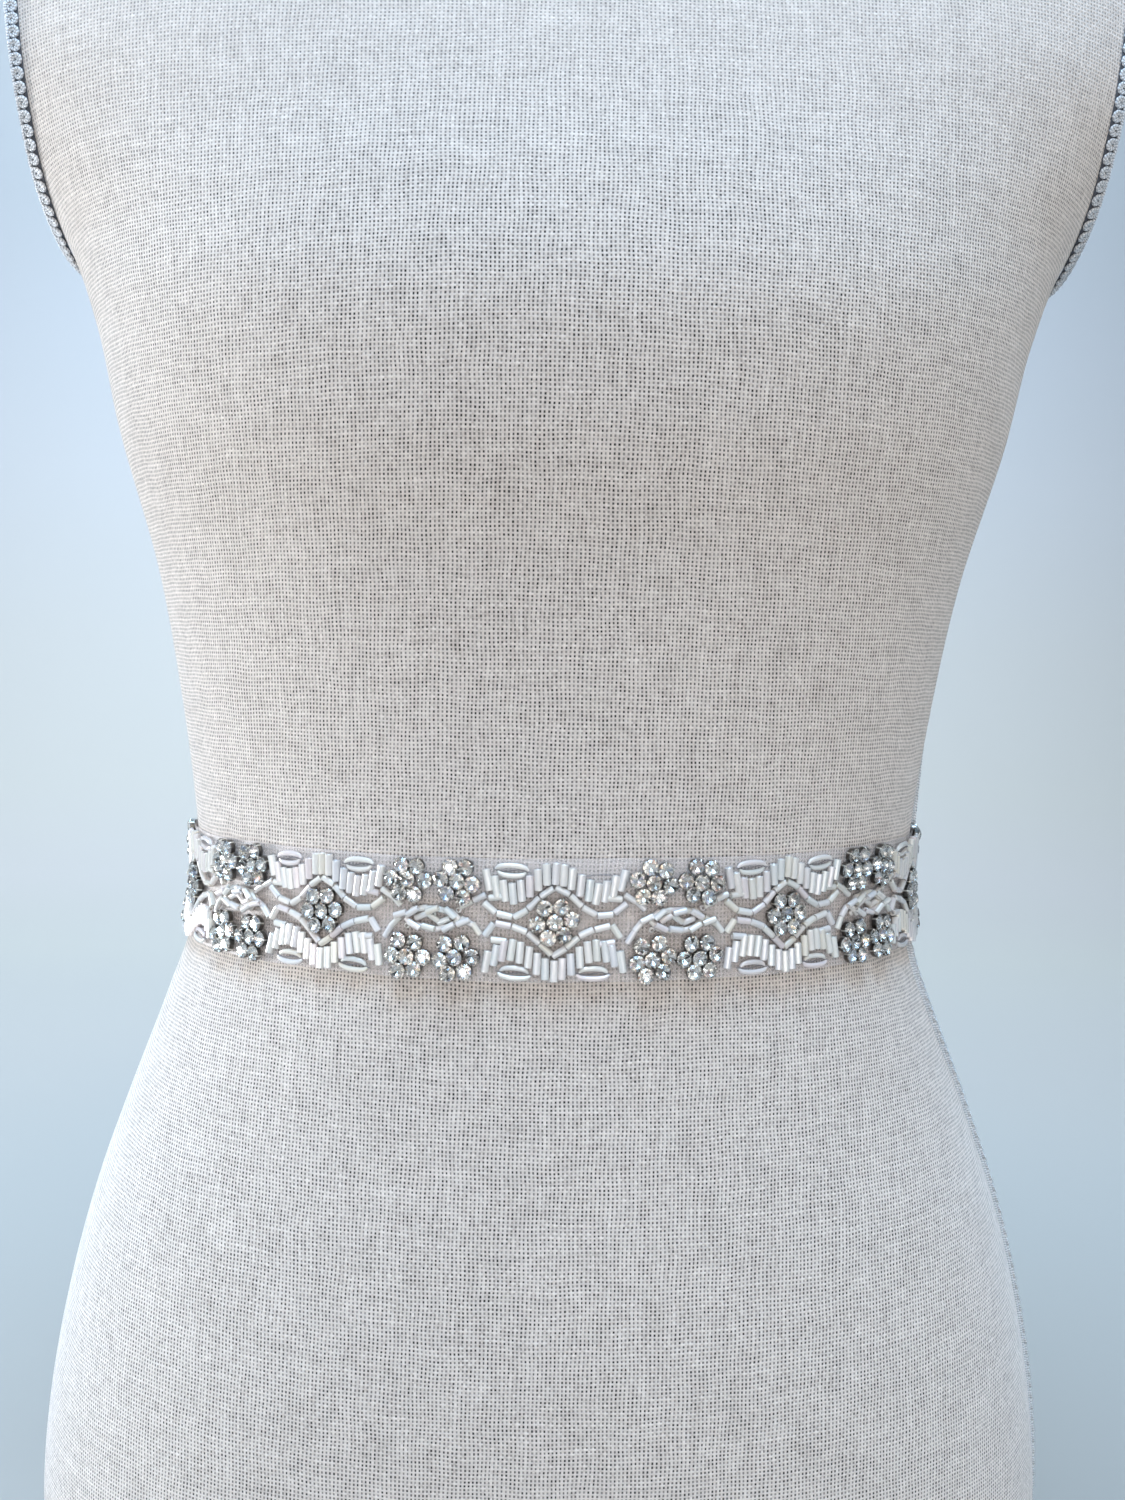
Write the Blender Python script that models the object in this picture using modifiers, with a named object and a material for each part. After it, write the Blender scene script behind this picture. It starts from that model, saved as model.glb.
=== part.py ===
"""A beaded bridal sash fastened round the waist of a limbless linen dress form.

The sash is a ribbon of sheer organza that follows the form's waist. Fans and strands of glass
bugle beads stand up on its outside, flowers of claw-set stones are sewn along it, and two satin
tabs close it at the back. The form stands on its flat underside.

Metres, +Z up, the form's front faces -Y, and the origin is the middle of the form's underside.
"""

import functools
import math
from collections import namedtuple

import bmesh
import bpy
import numpy as np
from mathutils import Matrix, Vector

MM = 0.001

# Sash: places along its length are counted from the middle of the front, towards +X.
# It is worn a little higher on the +X side, by the tilt.
SASH_LEVEL = 270 * MM
SASH_TILT = 0.013
SEAM_GAP = 0.3 * MM
ORGANZA_WALL = 1.0 * MM
ORGANZA_HALF_HEIGHT = 18.0 * MM
REPEAT = 70.6 * MM
SINGLES_EACH_SIDE = 4

# Levels out from the form's skin
BAND_INSIDE = SEAM_GAP
BAND_OUTSIDE = BAND_INSIDE + ORGANZA_WALL
TRIM_SEAT = BAND_OUTSIDE + SEAM_GAP

# Bugle beads: a fan waves up over each single flower and down beside it
BUGLE_LENGTH = 6.4 * MM
BUGLE_LIFT = 2.0 * MM
FAN_LINE = 11.1 * MM
FAN_SWING = 2.9 * MM
FAN_WAVE = 24.5 * MM
FAN_HALF_LENGTH = 20.0 * MM
EYE_LINE = 14.9 * MM
EYE_HALF_HEIGHT = 2.1 * MM
EYE_HALF_WIDTH = 4.8 * MM
STRAND_HALF_WIDTH = 0.95 * MM
STRAND_LIFT = 1.6 * MM
BEAD_SLOPE = 0.4 * MM

# Flowers: seven round stones, six about one, in claw settings that touch
STONE_PITCH = 4.8 * MM
SETTING_DEPTH = 0.9 * MM
STONE_RISE = 2.1 * MM
STONE_SLOPE = 0.95 * MM
DOUBLE_LINE = 11.1 * MM
DOUBLE_SPAN = 3 * STONE_PITCH

# Closing tabs and snap caps, at the back
TAB_WALL = 1.0 * MM
TAB_HALF_HEIGHT = 17.0 * MM
TAB_OVERLAP = 15.0 * MM
TAB_RAMP = 10.0 * MM
TAB_STEPS = 14
SNAP_RADIUS = 4.5 * MM
SNAP_CROWN = 0.75
SNAP_THICKNESS = 1.2 * MM
SNAP_SPACING = 11.0 * MM

# How finely round shapes are cut up, and how near points must be to be one
ROUND_SEGMENTS = 28
SNAP_SEGMENTS = 16
WAIST_SAMPLES = 721
SAME_POINT = 0.01 * MM

# Dress form
FORM_TOP = 710 * MM
FORM_COLUMNS = 40
ARM_FLAT_FROM = 440 * MM
ARM_FLAT_LOW = (165.0 * MM, 480 * MM)
ARM_FLAT_SLOPE = 0.14
ARM_PLATE_HEIGHT = 537 * MM
ARM_PLATE_MIDDLE = 8 * MM
ARM_PLATE_HALF_WIDTH = 41 * MM
ARM_PLATE_HALF_HEIGHT = 53 * MM
ARM_PLATE_THICKNESS = 4 * MM
ARM_PLATE_BEVEL = 1.2 * MM
NECK_CAP_THICKNESS = 12 * MM
NECK_CAP_ROUND = 4 * MM
NECK_CAP_ROUND_STEPS = 4
NECK_CAP_INSET = 1.5 * MM

# One row for each level of the form. The side line is where the section is widest, front and
# back are the section's ends along Y, and a power of 2 is an ellipse, more is squarer.
Section = namedtuple("Section", "height half_width side_line front back power")
FORM_SECTIONS = (
    Section(0 * MM, 166.0 * MM, 6 * MM, -101.0 * MM, 109.0 * MM, 2.30),
    Section(60 * MM, 172.7 * MM, 8 * MM, -106.0 * MM, 121.0 * MM, 2.30),
    Section(95 * MM, 170.0 * MM, 8 * MM, -106.5 * MM, 123.0 * MM, 2.28),
    Section(130 * MM, 163.8 * MM, 8 * MM, -106.0 * MM, 120.0 * MM, 2.25),
    Section(165 * MM, 154.5 * MM, 6 * MM, -104.0 * MM, 113.0 * MM, 2.20),
    Section(196 * MM, 143.7 * MM, 4 * MM, -101.5 * MM, 105.0 * MM, 2.12),
    Section(229 * MM, 131.2 * MM, 1 * MM, -98.8 * MM, 95.0 * MM, 2.05),
    Section(255 * MM, 122.5 * MM, 0 * MM, -97.6 * MM, 87.5 * MM, 2.00),
    Section(274 * MM, 120.6 * MM, 0 * MM, -97.4 * MM, 85.5 * MM, 2.00),
    Section(297 * MM, 122.4 * MM, 0 * MM, -98.0 * MM, 86.0 * MM, 2.02),
    Section(330 * MM, 126.7 * MM, 0 * MM, -100.5 * MM, 89.5 * MM, 2.08),
    Section(370 * MM, 133.7 * MM, 0 * MM, -106.5 * MM, 96.0 * MM, 2.16),
    Section(415 * MM, 146.1 * MM, 1 * MM, -116.5 * MM, 102.0 * MM, 2.26),
    Section(450 * MM, 154.5 * MM, 3 * MM, -117.5 * MM, 105.5 * MM, 2.26),
    Section(475 * MM, 164.8 * MM, 5 * MM, -110.5 * MM, 106.5 * MM, 2.20),
    Section(500 * MM, 182.5 * MM, 7 * MM, -100.0 * MM, 106.0 * MM, 2.12),
    Section(535 * MM, 206.0 * MM, 10 * MM, -86.0 * MM, 103.0 * MM, 2.05),
    Section(570 * MM, 212.0 * MM, 13 * MM, -72.0 * MM, 96.0 * MM, 2.00),
    Section(600 * MM, 186.0 * MM, 16 * MM, -57.0 * MM, 86.0 * MM, 2.00),
    Section(621 * MM, 147.0 * MM, 18 * MM, -44.0 * MM, 76.0 * MM, 2.00),
    Section(637 * MM, 98.0 * MM, 18 * MM, -36.5 * MM, 68.0 * MM, 2.00),
    Section(653 * MM, 66.5 * MM, 16 * MM, -34.0 * MM, 62.0 * MM, 2.00),
    Section(676 * MM, 57.0 * MM, 13 * MM, -34.5 * MM, 58.0 * MM, 2.00),
    Section(710 * MM, 54.0 * MM, 10 * MM, -36.0 * MM, 56.0 * MM, 2.00),
)

# Stretches of the form between two levels, and how many rings each takes
Stretch = namedtuple("Stretch", "low high rings")
FORM_STRETCHES = (
    Stretch(4 * MM, 240 * MM, 8),
    Stretch(240 * MM, 300 * MM, 7),
    Stretch(300 * MM, 470 * MM, 7),
    Stretch(470 * MM, 510 * MM, 3),
    Stretch(510 * MM, 600 * MM, 5),
    Stretch(600 * MM, FORM_TOP, 8),
)
UNDERSIDE_ROUND = 3 * MM

# How high a bead strand runs above the sash's middle line, by the distance from a single flower
StrandKnot = namedtuple("StrandKnot", "away up")
STRAND_KNOTS = (
    StrandKnot(0.0 * MM, 9.6 * MM),
    StrandKnot(3.0 * MM, 8.3 * MM),
    StrandKnot(7.0 * MM, 4.6 * MM),
    StrandKnot(11.5 * MM, 1.8 * MM),
    StrandKnot(15.5 * MM, 1.8 * MM),
    StrandKnot(20.0 * MM, 4.2 * MM),
    StrandKnot(24.5 * MM, 1.6 * MM),
    StrandKnot(29.0 * MM, 2.2 * MM),
    StrandKnot(35.3 * MM, 2.9 * MM),
)

# Columns of the band, by the distance from a single flower: within the fan, and past its end
FAN_COLUMNS = (0.0, 4.0 * MM, 8.0 * MM, FAN_WAVE / 2, FAN_HALF_LENGTH, 20.5 * MM)
BETWEEN_COLUMNS = (27.9 * MM, REPEAT / 2)
BAND_END = 21.5 * MM

Finish = namedtuple("Finish", "colour roughness metallic")
FINISHES = {
    "linen": Finish((0.50, 0.47, 0.43), 0.90, 0.0),
    "arm_linen": Finish((0.46, 0.43, 0.39), 0.90, 0.0),
    "neck_wood": Finish((0.45, 0.30, 0.17), 0.55, 0.0),
    "organza": Finish((0.78, 0.78, 0.80), 0.50, 0.0),
    "stones": Finish((0.62, 0.63, 0.66), 0.15, 0.6),
    "satin": Finish((0.80, 0.79, 0.76), 0.35, 0.0),
}


def smooth_value(place, places, values):
    """Reads a smooth curve through (places, values) at one place."""
    slopes = np.gradient(values, places)
    i = int(np.clip(np.searchsorted(places, place) - 1, 0, len(places) - 2))
    width = places[i + 1] - places[i]
    t = (place - places[i]) / width
    ends = (1 + 2 * t) * (1 - t) ** 2 * values[i] + t * t * (3 - 2 * t) * values[i + 1]
    return float(ends + width * (t * (1 - t) ** 2 * slopes[i] + t * t * (t - 1) * slopes[i + 1]))


@functools.cache
def section_at(height):
    """The form's section at a height, read from smooth curves through the table."""
    table = np.array(FORM_SECTIONS)
    row = [smooth_value(height, table[:, 0], table[:, i]) for i in range(1, len(Section._fields))]
    return Section(height, *row)


def arm_flat_x(height):
    """How far out the flat side of an armhole lies at a height."""
    return ARM_FLAT_LOW[0] + (height - ARM_FLAT_LOW[1]) * ARM_FLAT_SLOPE


def form_point(angle, height, out=0.0):
    """A point of the form's skin, moved out level with the table.

    The angle is 0 at the front and turns towards +X.
    """
    section = section_at(height)
    side, ahead = math.sin(angle), math.cos(angle)
    depth = section.side_line - section.front if ahead > 0 else section.back - section.side_line
    power = section.power
    reach = abs(side / section.half_width) ** power + abs(ahead / depth) ** power
    radius = reach ** (-1 / power)
    x, y = radius * side, -radius * ahead
    outward = Vector((
        math.copysign(abs(x / section.half_width) ** (power - 1) / section.half_width, x),
        math.copysign(abs(y / depth) ** (power - 1) / depth, y),
        0.0,
    )).normalized()
    return Vector((x, section.side_line + y, height)) + outward * out


@functools.cache
def waist_measure():
    """Angles from the front to the back, and the sash's length up to each."""
    angles = np.linspace(0, math.pi, WAIST_SAMPLES)
    points = np.array([form_point(angle, SASH_LEVEL, BAND_OUTSIDE) for angle in angles])
    steps = np.linalg.norm(np.diff(points, axis=0), axis=1)
    return angles, np.concatenate([[0.0], np.cumsum(steps)])


def half_round():
    """The length of the sash from the middle of the front to the middle of the back."""
    return float(waist_measure()[1][-1])


def sash_point(along, up, out):
    """A point of the sash: along its length, up from its middle line, out from the form."""
    angles, lengths = waist_measure()
    length = abs(along)
    if length > half_round():
        angle = 2 * math.pi - float(np.interp(2 * half_round() - length, lengths, angles))
    else:
        angle = float(np.interp(length, lengths, angles))
    angle = math.copysign(angle, along)
    level = SASH_LEVEL + up
    return form_point(angle, level + SASH_TILT * form_point(angle, level).x, out)


def finish_material(name):
    """A Principled material with one of the finishes."""
    material = bpy.data.materials.get(name)
    if material is None:
        finish = FINISHES[name]
        material = bpy.data.materials.new(name)
        material.use_nodes = True
        shader = material.node_tree.nodes["Principled BSDF"]
        shader.inputs["Base Color"].default_value = (*finish.colour, 1.0)
        shader.inputs["Roughness"].default_value = finish.roughness
        shader.inputs["Metallic"].default_value = finish.metallic
    return material


def add_object(name, mesh, finish, collection, sharp_over=35):
    """Puts a mesh in the scene as one named piece, shaded smooth but for its sharp edges."""
    piece = bpy.data.objects.new(name, mesh)
    collection.objects.link(piece)
    mesh.materials.append(finish_material(finish))
    mesh.shade_smooth()
    mesh.set_sharp_from_angle(angle=math.radians(sharp_over))
    return piece


def loft(rings):
    """A closed solid through rings of points, each a closed outline, capped at both ends."""
    shape = bmesh.new()
    rows = [[shape.verts.new(point) for point in ring] for ring in rings]
    count = len(rows[0])
    for here, there in zip(rows, rows[1:]):
        for i in range(count):
            j = (i + 1) % count
            shape.faces.new((here[i], here[j], there[j], there[i]))
    shape.faces.new(rows[0])
    shape.faces.new(rows[-1])
    bmesh.ops.recalc_face_normals(shape, faces=shape.faces)
    return shape


def mesh_from(shape, name):
    """Turns a bmesh into a named mesh and frees it."""
    mesh = bpy.data.meshes.new(name)
    shape.to_mesh(mesh)
    shape.free()
    return mesh


def form_ring(height, inset=0.0):
    """The form's outline at a height, drawn in by an inset."""
    angles = np.linspace(0, 2 * math.pi, FORM_COLUMNS, endpoint=False)
    return [form_point(float(angle), height, -inset) for angle in angles]


def arm_flat_outward(side):
    """The direction that the flat of an armhole faces. The side is 1 towards +X, -1 towards -X."""
    tilt = math.atan(ARM_FLAT_SLOPE)
    return Vector((side * math.cos(tilt), 0, -math.sin(tilt)))


def cut_arm_flat(shape, side):
    """Cuts the upper torso off flat where an arm would be, and closes the cut."""
    upper = [face for face in shape.faces if face.calc_center_median().z > ARM_FLAT_FROM]
    edges = {edge for face in upper for edge in face.edges}
    verts = {vert for face in upper for vert in face.verts}
    cut = bmesh.ops.bisect_plane(
        shape,
        geom=list(verts) + list(edges) + upper,
        dist=SAME_POINT,
        plane_co=(side * ARM_FLAT_LOW[0], 0, ARM_FLAT_LOW[1]),
        plane_no=arm_flat_outward(side),
        clear_outer=True,
    )["geom_cut"]
    rim = [item for item in cut if isinstance(item, bmesh.types.BMEdge)]
    bmesh.ops.contextual_create(shape, geom=rim)


def build_form_body(collection):
    """The torso: a loft through its sections, flat where the arms would be and underneath."""
    underside = [Vector((p.x, p.y, 0.0)) for p in form_ring(FORM_STRETCHES[0].low, UNDERSIDE_ROUND)]
    rings = [underside]
    for stretch in FORM_STRETCHES:
        heights = np.linspace(stretch.low, stretch.high, stretch.rings, endpoint=False)
        rings += [form_ring(float(height)) for height in heights]
    rings.append(form_ring(FORM_TOP))
    shape = loft(rings)
    for side in (-1, 1):
        cut_arm_flat(shape, side)
    bmesh.ops.recalc_face_normals(shape, faces=shape.faces)
    add_object("form_body", mesh_from(shape, "form_body"), "linen", collection)


def build_neck_cap(collection):
    """A turned cap on the neck, as oval as the neck is."""
    neck = section_at(FORM_TOP)
    radius = neck.half_width - NECK_CAP_INSET
    depth = (neck.back - neck.front) / 2 - NECK_CAP_INSET
    shape = bmesh.new()
    corners = [Vector((0, 0, NECK_CAP_THICKNESS))]
    for turn in np.linspace(0, math.pi / 2, NECK_CAP_ROUND_STEPS):
        corners.append(Vector((
            radius - NECK_CAP_ROUND + NECK_CAP_ROUND * math.sin(turn),
            0,
            NECK_CAP_THICKNESS - NECK_CAP_ROUND + NECK_CAP_ROUND * math.cos(turn),
        )))
    corners += [Vector((radius, 0, 0)), Vector((0, 0, 0))]
    points = [shape.verts.new(corner) for corner in corners]
    for upper, lower in zip(points, points[1:]):
        shape.edges.new((upper, lower))
    cap = add_object("neck_cap", mesh_from(shape, "neck_cap"), "neck_wood", collection)
    screw = cap.modifiers.new("Turned", "SCREW")
    screw.steps = screw.render_steps = ROUND_SEGMENTS
    screw.use_merge_vertices = True
    screw.merge_threshold = 0.1 * MM
    cap.location = (0, (neck.front + neck.back) / 2, FORM_TOP + SEAM_GAP)
    cap.scale = (1, depth / radius, 1)


def build_arm_plate(name, side, collection):
    """An oval plate on the flat of one armhole. The side is 1 towards +X and -1 towards -X."""
    shape = bmesh.new()
    bmesh.ops.create_cone(
        shape,
        cap_ends=True,
        segments=ROUND_SEGMENTS,
        radius1=1,
        radius2=1,
        depth=ARM_PLATE_THICKNESS,
    )
    bmesh.ops.scale(shape, vec=(ARM_PLATE_HALF_HEIGHT, ARM_PLATE_HALF_WIDTH, 1), verts=shape.verts)
    plate = add_object(name, mesh_from(shape, name), "arm_linen", collection)
    bevel = plate.modifiers.new("Rounded rim", "BEVEL")
    bevel.width = ARM_PLATE_BEVEL
    bevel.segments = 1
    outward = arm_flat_outward(side)
    seat = Vector((side * arm_flat_x(ARM_PLATE_HEIGHT), ARM_PLATE_MIDDLE, ARM_PLATE_HEIGHT))
    plate.location = seat + outward * (SEAM_GAP + ARM_PLATE_THICKNESS / 2)
    plate.rotation_euler = outward.to_track_quat("Z", "X").to_euler()


def fan_middle(away):
    """How high the middle of a bugle fan is, by the distance from its single flower."""
    return FAN_LINE + FAN_SWING * math.cos(2 * math.pi * away / FAN_WAVE)


def fan_outer_edge(away):
    """The outer edge of a fan, with the eye of curved beads that fills its dip."""
    edge = fan_middle(away) + BUGLE_LENGTH / 2
    across = (away - FAN_WAVE / 2) / EYE_HALF_WIDTH
    if abs(across) < 1:
        edge = max(edge, EYE_LINE + EYE_HALF_HEIGHT * math.sqrt(1 - across * across))
    return edge


def strand_middle(away):
    """How high a bead strand is, by the distance from the nearest single flower."""
    knots = np.array(STRAND_KNOTS)
    return smooth_value(away, knots[:, 0], knots[:, 1])


def band_outline(along):
    """The band's outline in section at one place: outer side from low to high, then inside."""
    away = abs(along - REPEAT * round(along / REPEAT))
    strand = strand_middle(min(away, REPEAT / 2))
    inner, outer = fan_middle(away) - BUGLE_LENGTH / 2, fan_outer_edge(away)
    lift = BUGLE_LIFT if away <= FAN_HALF_LENGTH + SAME_POINT else 0.0
    upper = [
        (strand - STRAND_HALF_WIDTH, 0.0),
        (strand, STRAND_LIFT),
        (strand + STRAND_HALF_WIDTH, 0.0),
        (inner, 0.0),
        (inner + BEAD_SLOPE, lift),
        (outer - BEAD_SLOPE, lift),
        (outer, 0.0),
        (ORGANZA_HALF_HEIGHT, 0.0),
    ]
    lower = [(-up, raised) for up, raised in reversed(upper)]
    outside = [
        sash_point(along, up, BAND_OUTSIDE + raised) for up, raised in lower + [(0.0, 0.0)] + upper
    ]
    inside = [
        sash_point(along, up, BAND_INSIDE) for up in (ORGANZA_HALF_HEIGHT, 0.0, -ORGANZA_HALF_HEIGHT)
    ]
    return outside + inside


def band_columns():
    """Places along the band where it has an outline, from -X round to +X."""
    end = SINGLES_EACH_SIDE * REPEAT + BAND_END
    aways = FAN_COLUMNS + BETWEEN_COLUMNS
    places = [-end, end]
    for k in range(-SINGLES_EACH_SIDE, SINGLES_EACH_SIDE + 1):
        places += [k * REPEAT + away for away in aways]
        places += [k * REPEAT - away for away in aways]
    places = sorted(place for place in places if abs(place) <= end)
    following = zip(places, places[1:])
    return [places[0]] + [after for before, after in following if after - before > SAME_POINT]


def build_band(collection):
    """The organza ribbon, with its bead fans and strands raised on the outside."""
    outlines = [band_outline(place) for place in band_columns()]
    add_object("sash_band", mesh_from(loft(outlines), "sash_band"), "organza", collection)


def build_flower(name, along, up, petals_at, collection):
    """Seven touching stones about each place in petals_at, sewn to the band at (along, up)."""
    shape = bmesh.new()
    corner = STONE_PITCH / math.sqrt(3)
    for middle in petals_at:
        cells = [Vector((middle, 0, 0))]
        for i in range(6):
            turn = math.pi / 3 * i
            cells.append(cells[0] + STONE_PITCH * Vector((math.cos(turn), math.sin(turn), 0)))
        for cell in cells:
            bmesh.ops.create_circle(
                shape, cap_ends=True, segments=6, radius=corner, matrix=Matrix.Translation(cell)
            )
    bmesh.ops.remove_doubles(shape, verts=shape.verts, dist=SAME_POINT)
    raised = bmesh.ops.extrude_face_region(shape, geom=shape.faces[:], use_keep_orig=True)["geom"]
    corners = [item for item in raised if isinstance(item, bmesh.types.BMVert)]
    stones = [item for item in raised if isinstance(item, bmesh.types.BMFace)]
    bmesh.ops.translate(shape, vec=(0, 0, SETTING_DEPTH), verts=corners)
    bmesh.ops.recalc_face_normals(shape, faces=shape.faces)
    bmesh.ops.inset_individual(shape, faces=stones, thickness=STONE_SLOPE, depth=STONE_RISE)
    for vert in shape.verts:
        vert.co = sash_point(along + vert.co.x, up + vert.co.y, TRIM_SEAT + vert.co.z)
    add_object(name, mesh_from(shape, name), "stones", collection, sharp_over=20)


def build_flowers(collection):
    """Single flowers on the middle line, and double ones above and below it in between."""
    for i in range(2 * SINGLES_EACH_SIDE + 1):
        place = (i - SINGLES_EACH_SIDE) * REPEAT
        build_flower(f"flower_single_{i + 1}", place, 0.0, (0.0,), collection)
    pair = (-DOUBLE_SPAN / 2, DOUBLE_SPAN / 2)
    for i in range(2 * SINGLES_EACH_SIDE):
        place = (i - SINGLES_EACH_SIDE + 0.5) * REPEAT
        build_flower(f"flower_double_top_{i + 1}", place, DOUBLE_LINE, pair, collection)
        build_flower(f"flower_double_low_{i + 1}", place, -DOUBLE_LINE, pair, collection)


def tab_outline(along, out):
    """A closing tab's outline in section at one place, its inside so far from the form."""
    ups = (-TAB_HALF_HEIGHT, 0.0, TAB_HALF_HEIGHT)
    outside = [sash_point(along, up, out + TAB_WALL) for up in ups]
    inside = [sash_point(along, up, out) for up in reversed(ups)]
    return outside + inside


def build_tabs(collection):
    """Two satin tabs from the band's ends. The one from +X laps over the other at the back."""
    start = SINGLES_EACH_SIDE * REPEAT + BAND_END + SEAM_GAP
    end = half_round() + TAB_OVERLAP
    inner = [tab_outline(-place, BAND_INSIDE) for place in np.linspace(start, end, TAB_STEPS)]
    add_object("closing_tab_inner", mesh_from(loft(inner), "closing_tab_inner"), "satin", collection)
    lapped = BAND_INSIDE + TAB_WALL + SEAM_GAP
    ramp_end = half_round() - TAB_OVERLAP - 2 * SEAM_GAP
    outer = []
    for place in np.linspace(start, end, TAB_STEPS):
        climb = min(1.0, max(0.0, (place - ramp_end + TAB_RAMP) / TAB_RAMP))
        outer.append(tab_outline(place, BAND_INSIDE + (lapped - BAND_INSIDE) * climb))
    add_object("closing_tab_outer", mesh_from(loft(outer), "closing_tab_outer"), "satin", collection)


def build_snap_caps(collection):
    """Three covered snap caps, in a column on the lapped tab at the middle of the back."""
    seat = BAND_INSIDE + 2 * (TAB_WALL + SEAM_GAP)
    for i in range(3):
        name = f"snap_cap_{i + 1}"
        shape = bmesh.new()
        bmesh.ops.create_cone(
            shape,
            cap_ends=True,
            segments=SNAP_SEGMENTS,
            radius1=SNAP_RADIUS,
            radius2=SNAP_RADIUS * SNAP_CROWN,
            depth=SNAP_THICKNESS,
        )
        up = (i - 1) * SNAP_SPACING
        for vert in shape.verts:
            out = seat + SNAP_THICKNESS / 2 + vert.co.z
            vert.co = sash_point(half_round() + vert.co.x, up + vert.co.y, out)
        bmesh.ops.recalc_face_normals(shape, faces=shape.faces)
        add_object(name, mesh_from(shape, name), "satin", collection)


def main():
    """Clears the scene and builds every piece into one collection."""
    for old in list(bpy.data.objects):
        bpy.data.objects.remove(old, do_unlink=True)
    collection = bpy.data.collections.new("bridal_sash_on_dress_form")
    bpy.context.scene.collection.children.link(collection)
    build_form_body(collection)
    build_neck_cap(collection)
    build_arm_plate("arm_plate_right", 1, collection)
    build_arm_plate("arm_plate_left", -1, collection)
    build_band(collection)
    build_flowers(collection)
    build_tabs(collection)
    build_snap_caps(collection)


main()
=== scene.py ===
"""The looks of a beaded bridal sash worn round the waist of a limbless linen dress form.

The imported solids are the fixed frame. Every solid is replaced here by a finer piece in the same
place: a linen cover woven at its real thread spacing with gimp braid along its edges, a sheer
organza ribbon, glass bugle beads sewn to it in fans, rings and strands, and flowers of faceted
stones in claw cups.

Metres, +Z up, the form's front faces -Y. Places on the sash are given as three numbers: along
(from the middle of the front, towards +X), up (from the sash's middle line) and out (from the
form's skin).
"""

import logging
import math
from dataclasses import dataclass, field
from enum import Enum
from typing import Sequence

import bmesh
import bpy
import numpy as np
from mathutils import Euler, Matrix, Vector


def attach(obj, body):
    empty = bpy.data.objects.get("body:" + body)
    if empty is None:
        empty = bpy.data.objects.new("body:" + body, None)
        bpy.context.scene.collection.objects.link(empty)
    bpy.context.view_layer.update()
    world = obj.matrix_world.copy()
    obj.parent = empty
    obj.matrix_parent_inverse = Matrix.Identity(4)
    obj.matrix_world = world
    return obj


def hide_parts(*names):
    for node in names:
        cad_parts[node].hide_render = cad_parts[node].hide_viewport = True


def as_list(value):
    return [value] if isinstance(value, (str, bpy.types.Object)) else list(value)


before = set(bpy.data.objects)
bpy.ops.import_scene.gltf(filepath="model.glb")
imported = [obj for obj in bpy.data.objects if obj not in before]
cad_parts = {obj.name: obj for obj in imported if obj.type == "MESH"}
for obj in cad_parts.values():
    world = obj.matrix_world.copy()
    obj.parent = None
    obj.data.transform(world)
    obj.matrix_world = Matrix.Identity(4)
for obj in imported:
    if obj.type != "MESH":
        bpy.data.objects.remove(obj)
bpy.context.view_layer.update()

log = logging.getLogger("bridal_sash")

MM = 0.001
BODY = "root"

# The sash's place and pattern, as in the solids
SASH_LEVEL = 270 * MM
SASH_TILT = 0.013
REPEAT = 70.6 * MM
SINGLES_EACH_SIDE = 4
BAND_END = 21.5 * MM
BAND_OUTSIDE = 1.3 * MM
TRIM_SEAT = 1.6 * MM
STONE_PITCH = 4.8 * MM
DOUBLE_LINE = 11.1 * MM
DOUBLE_SPAN = 3 * STONE_PITCH

# The form's top, its armholes and its side seams
FORM_TOP = 710 * MM
ARM_FLAT_FROM = 440 * MM
ARM_FLAT_LOW = (165.0 * MM, 480 * MM)
ARM_FLAT_SLOPE = 0.14


class Slot(Enum):
    """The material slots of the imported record."""

    LINEN = "linen"
    ARM_LINEN = "arm_linen"
    NECK_WOOD = "neck_wood"
    ORGANZA = "organza"
    STONES = "stones"
    SATIN = "satin"


class Half(Enum):
    """The two mirrored halves of the trim, above and below the sash's middle line."""

    UPPER = 1
    LOWER = -1


@dataclass(frozen=True)
class Section:
    """One level of the form: where it is widest, its ends along Y, and how square it is."""

    height: float
    half_width: float
    side_line: float
    front: float
    back: float
    power: float


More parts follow.
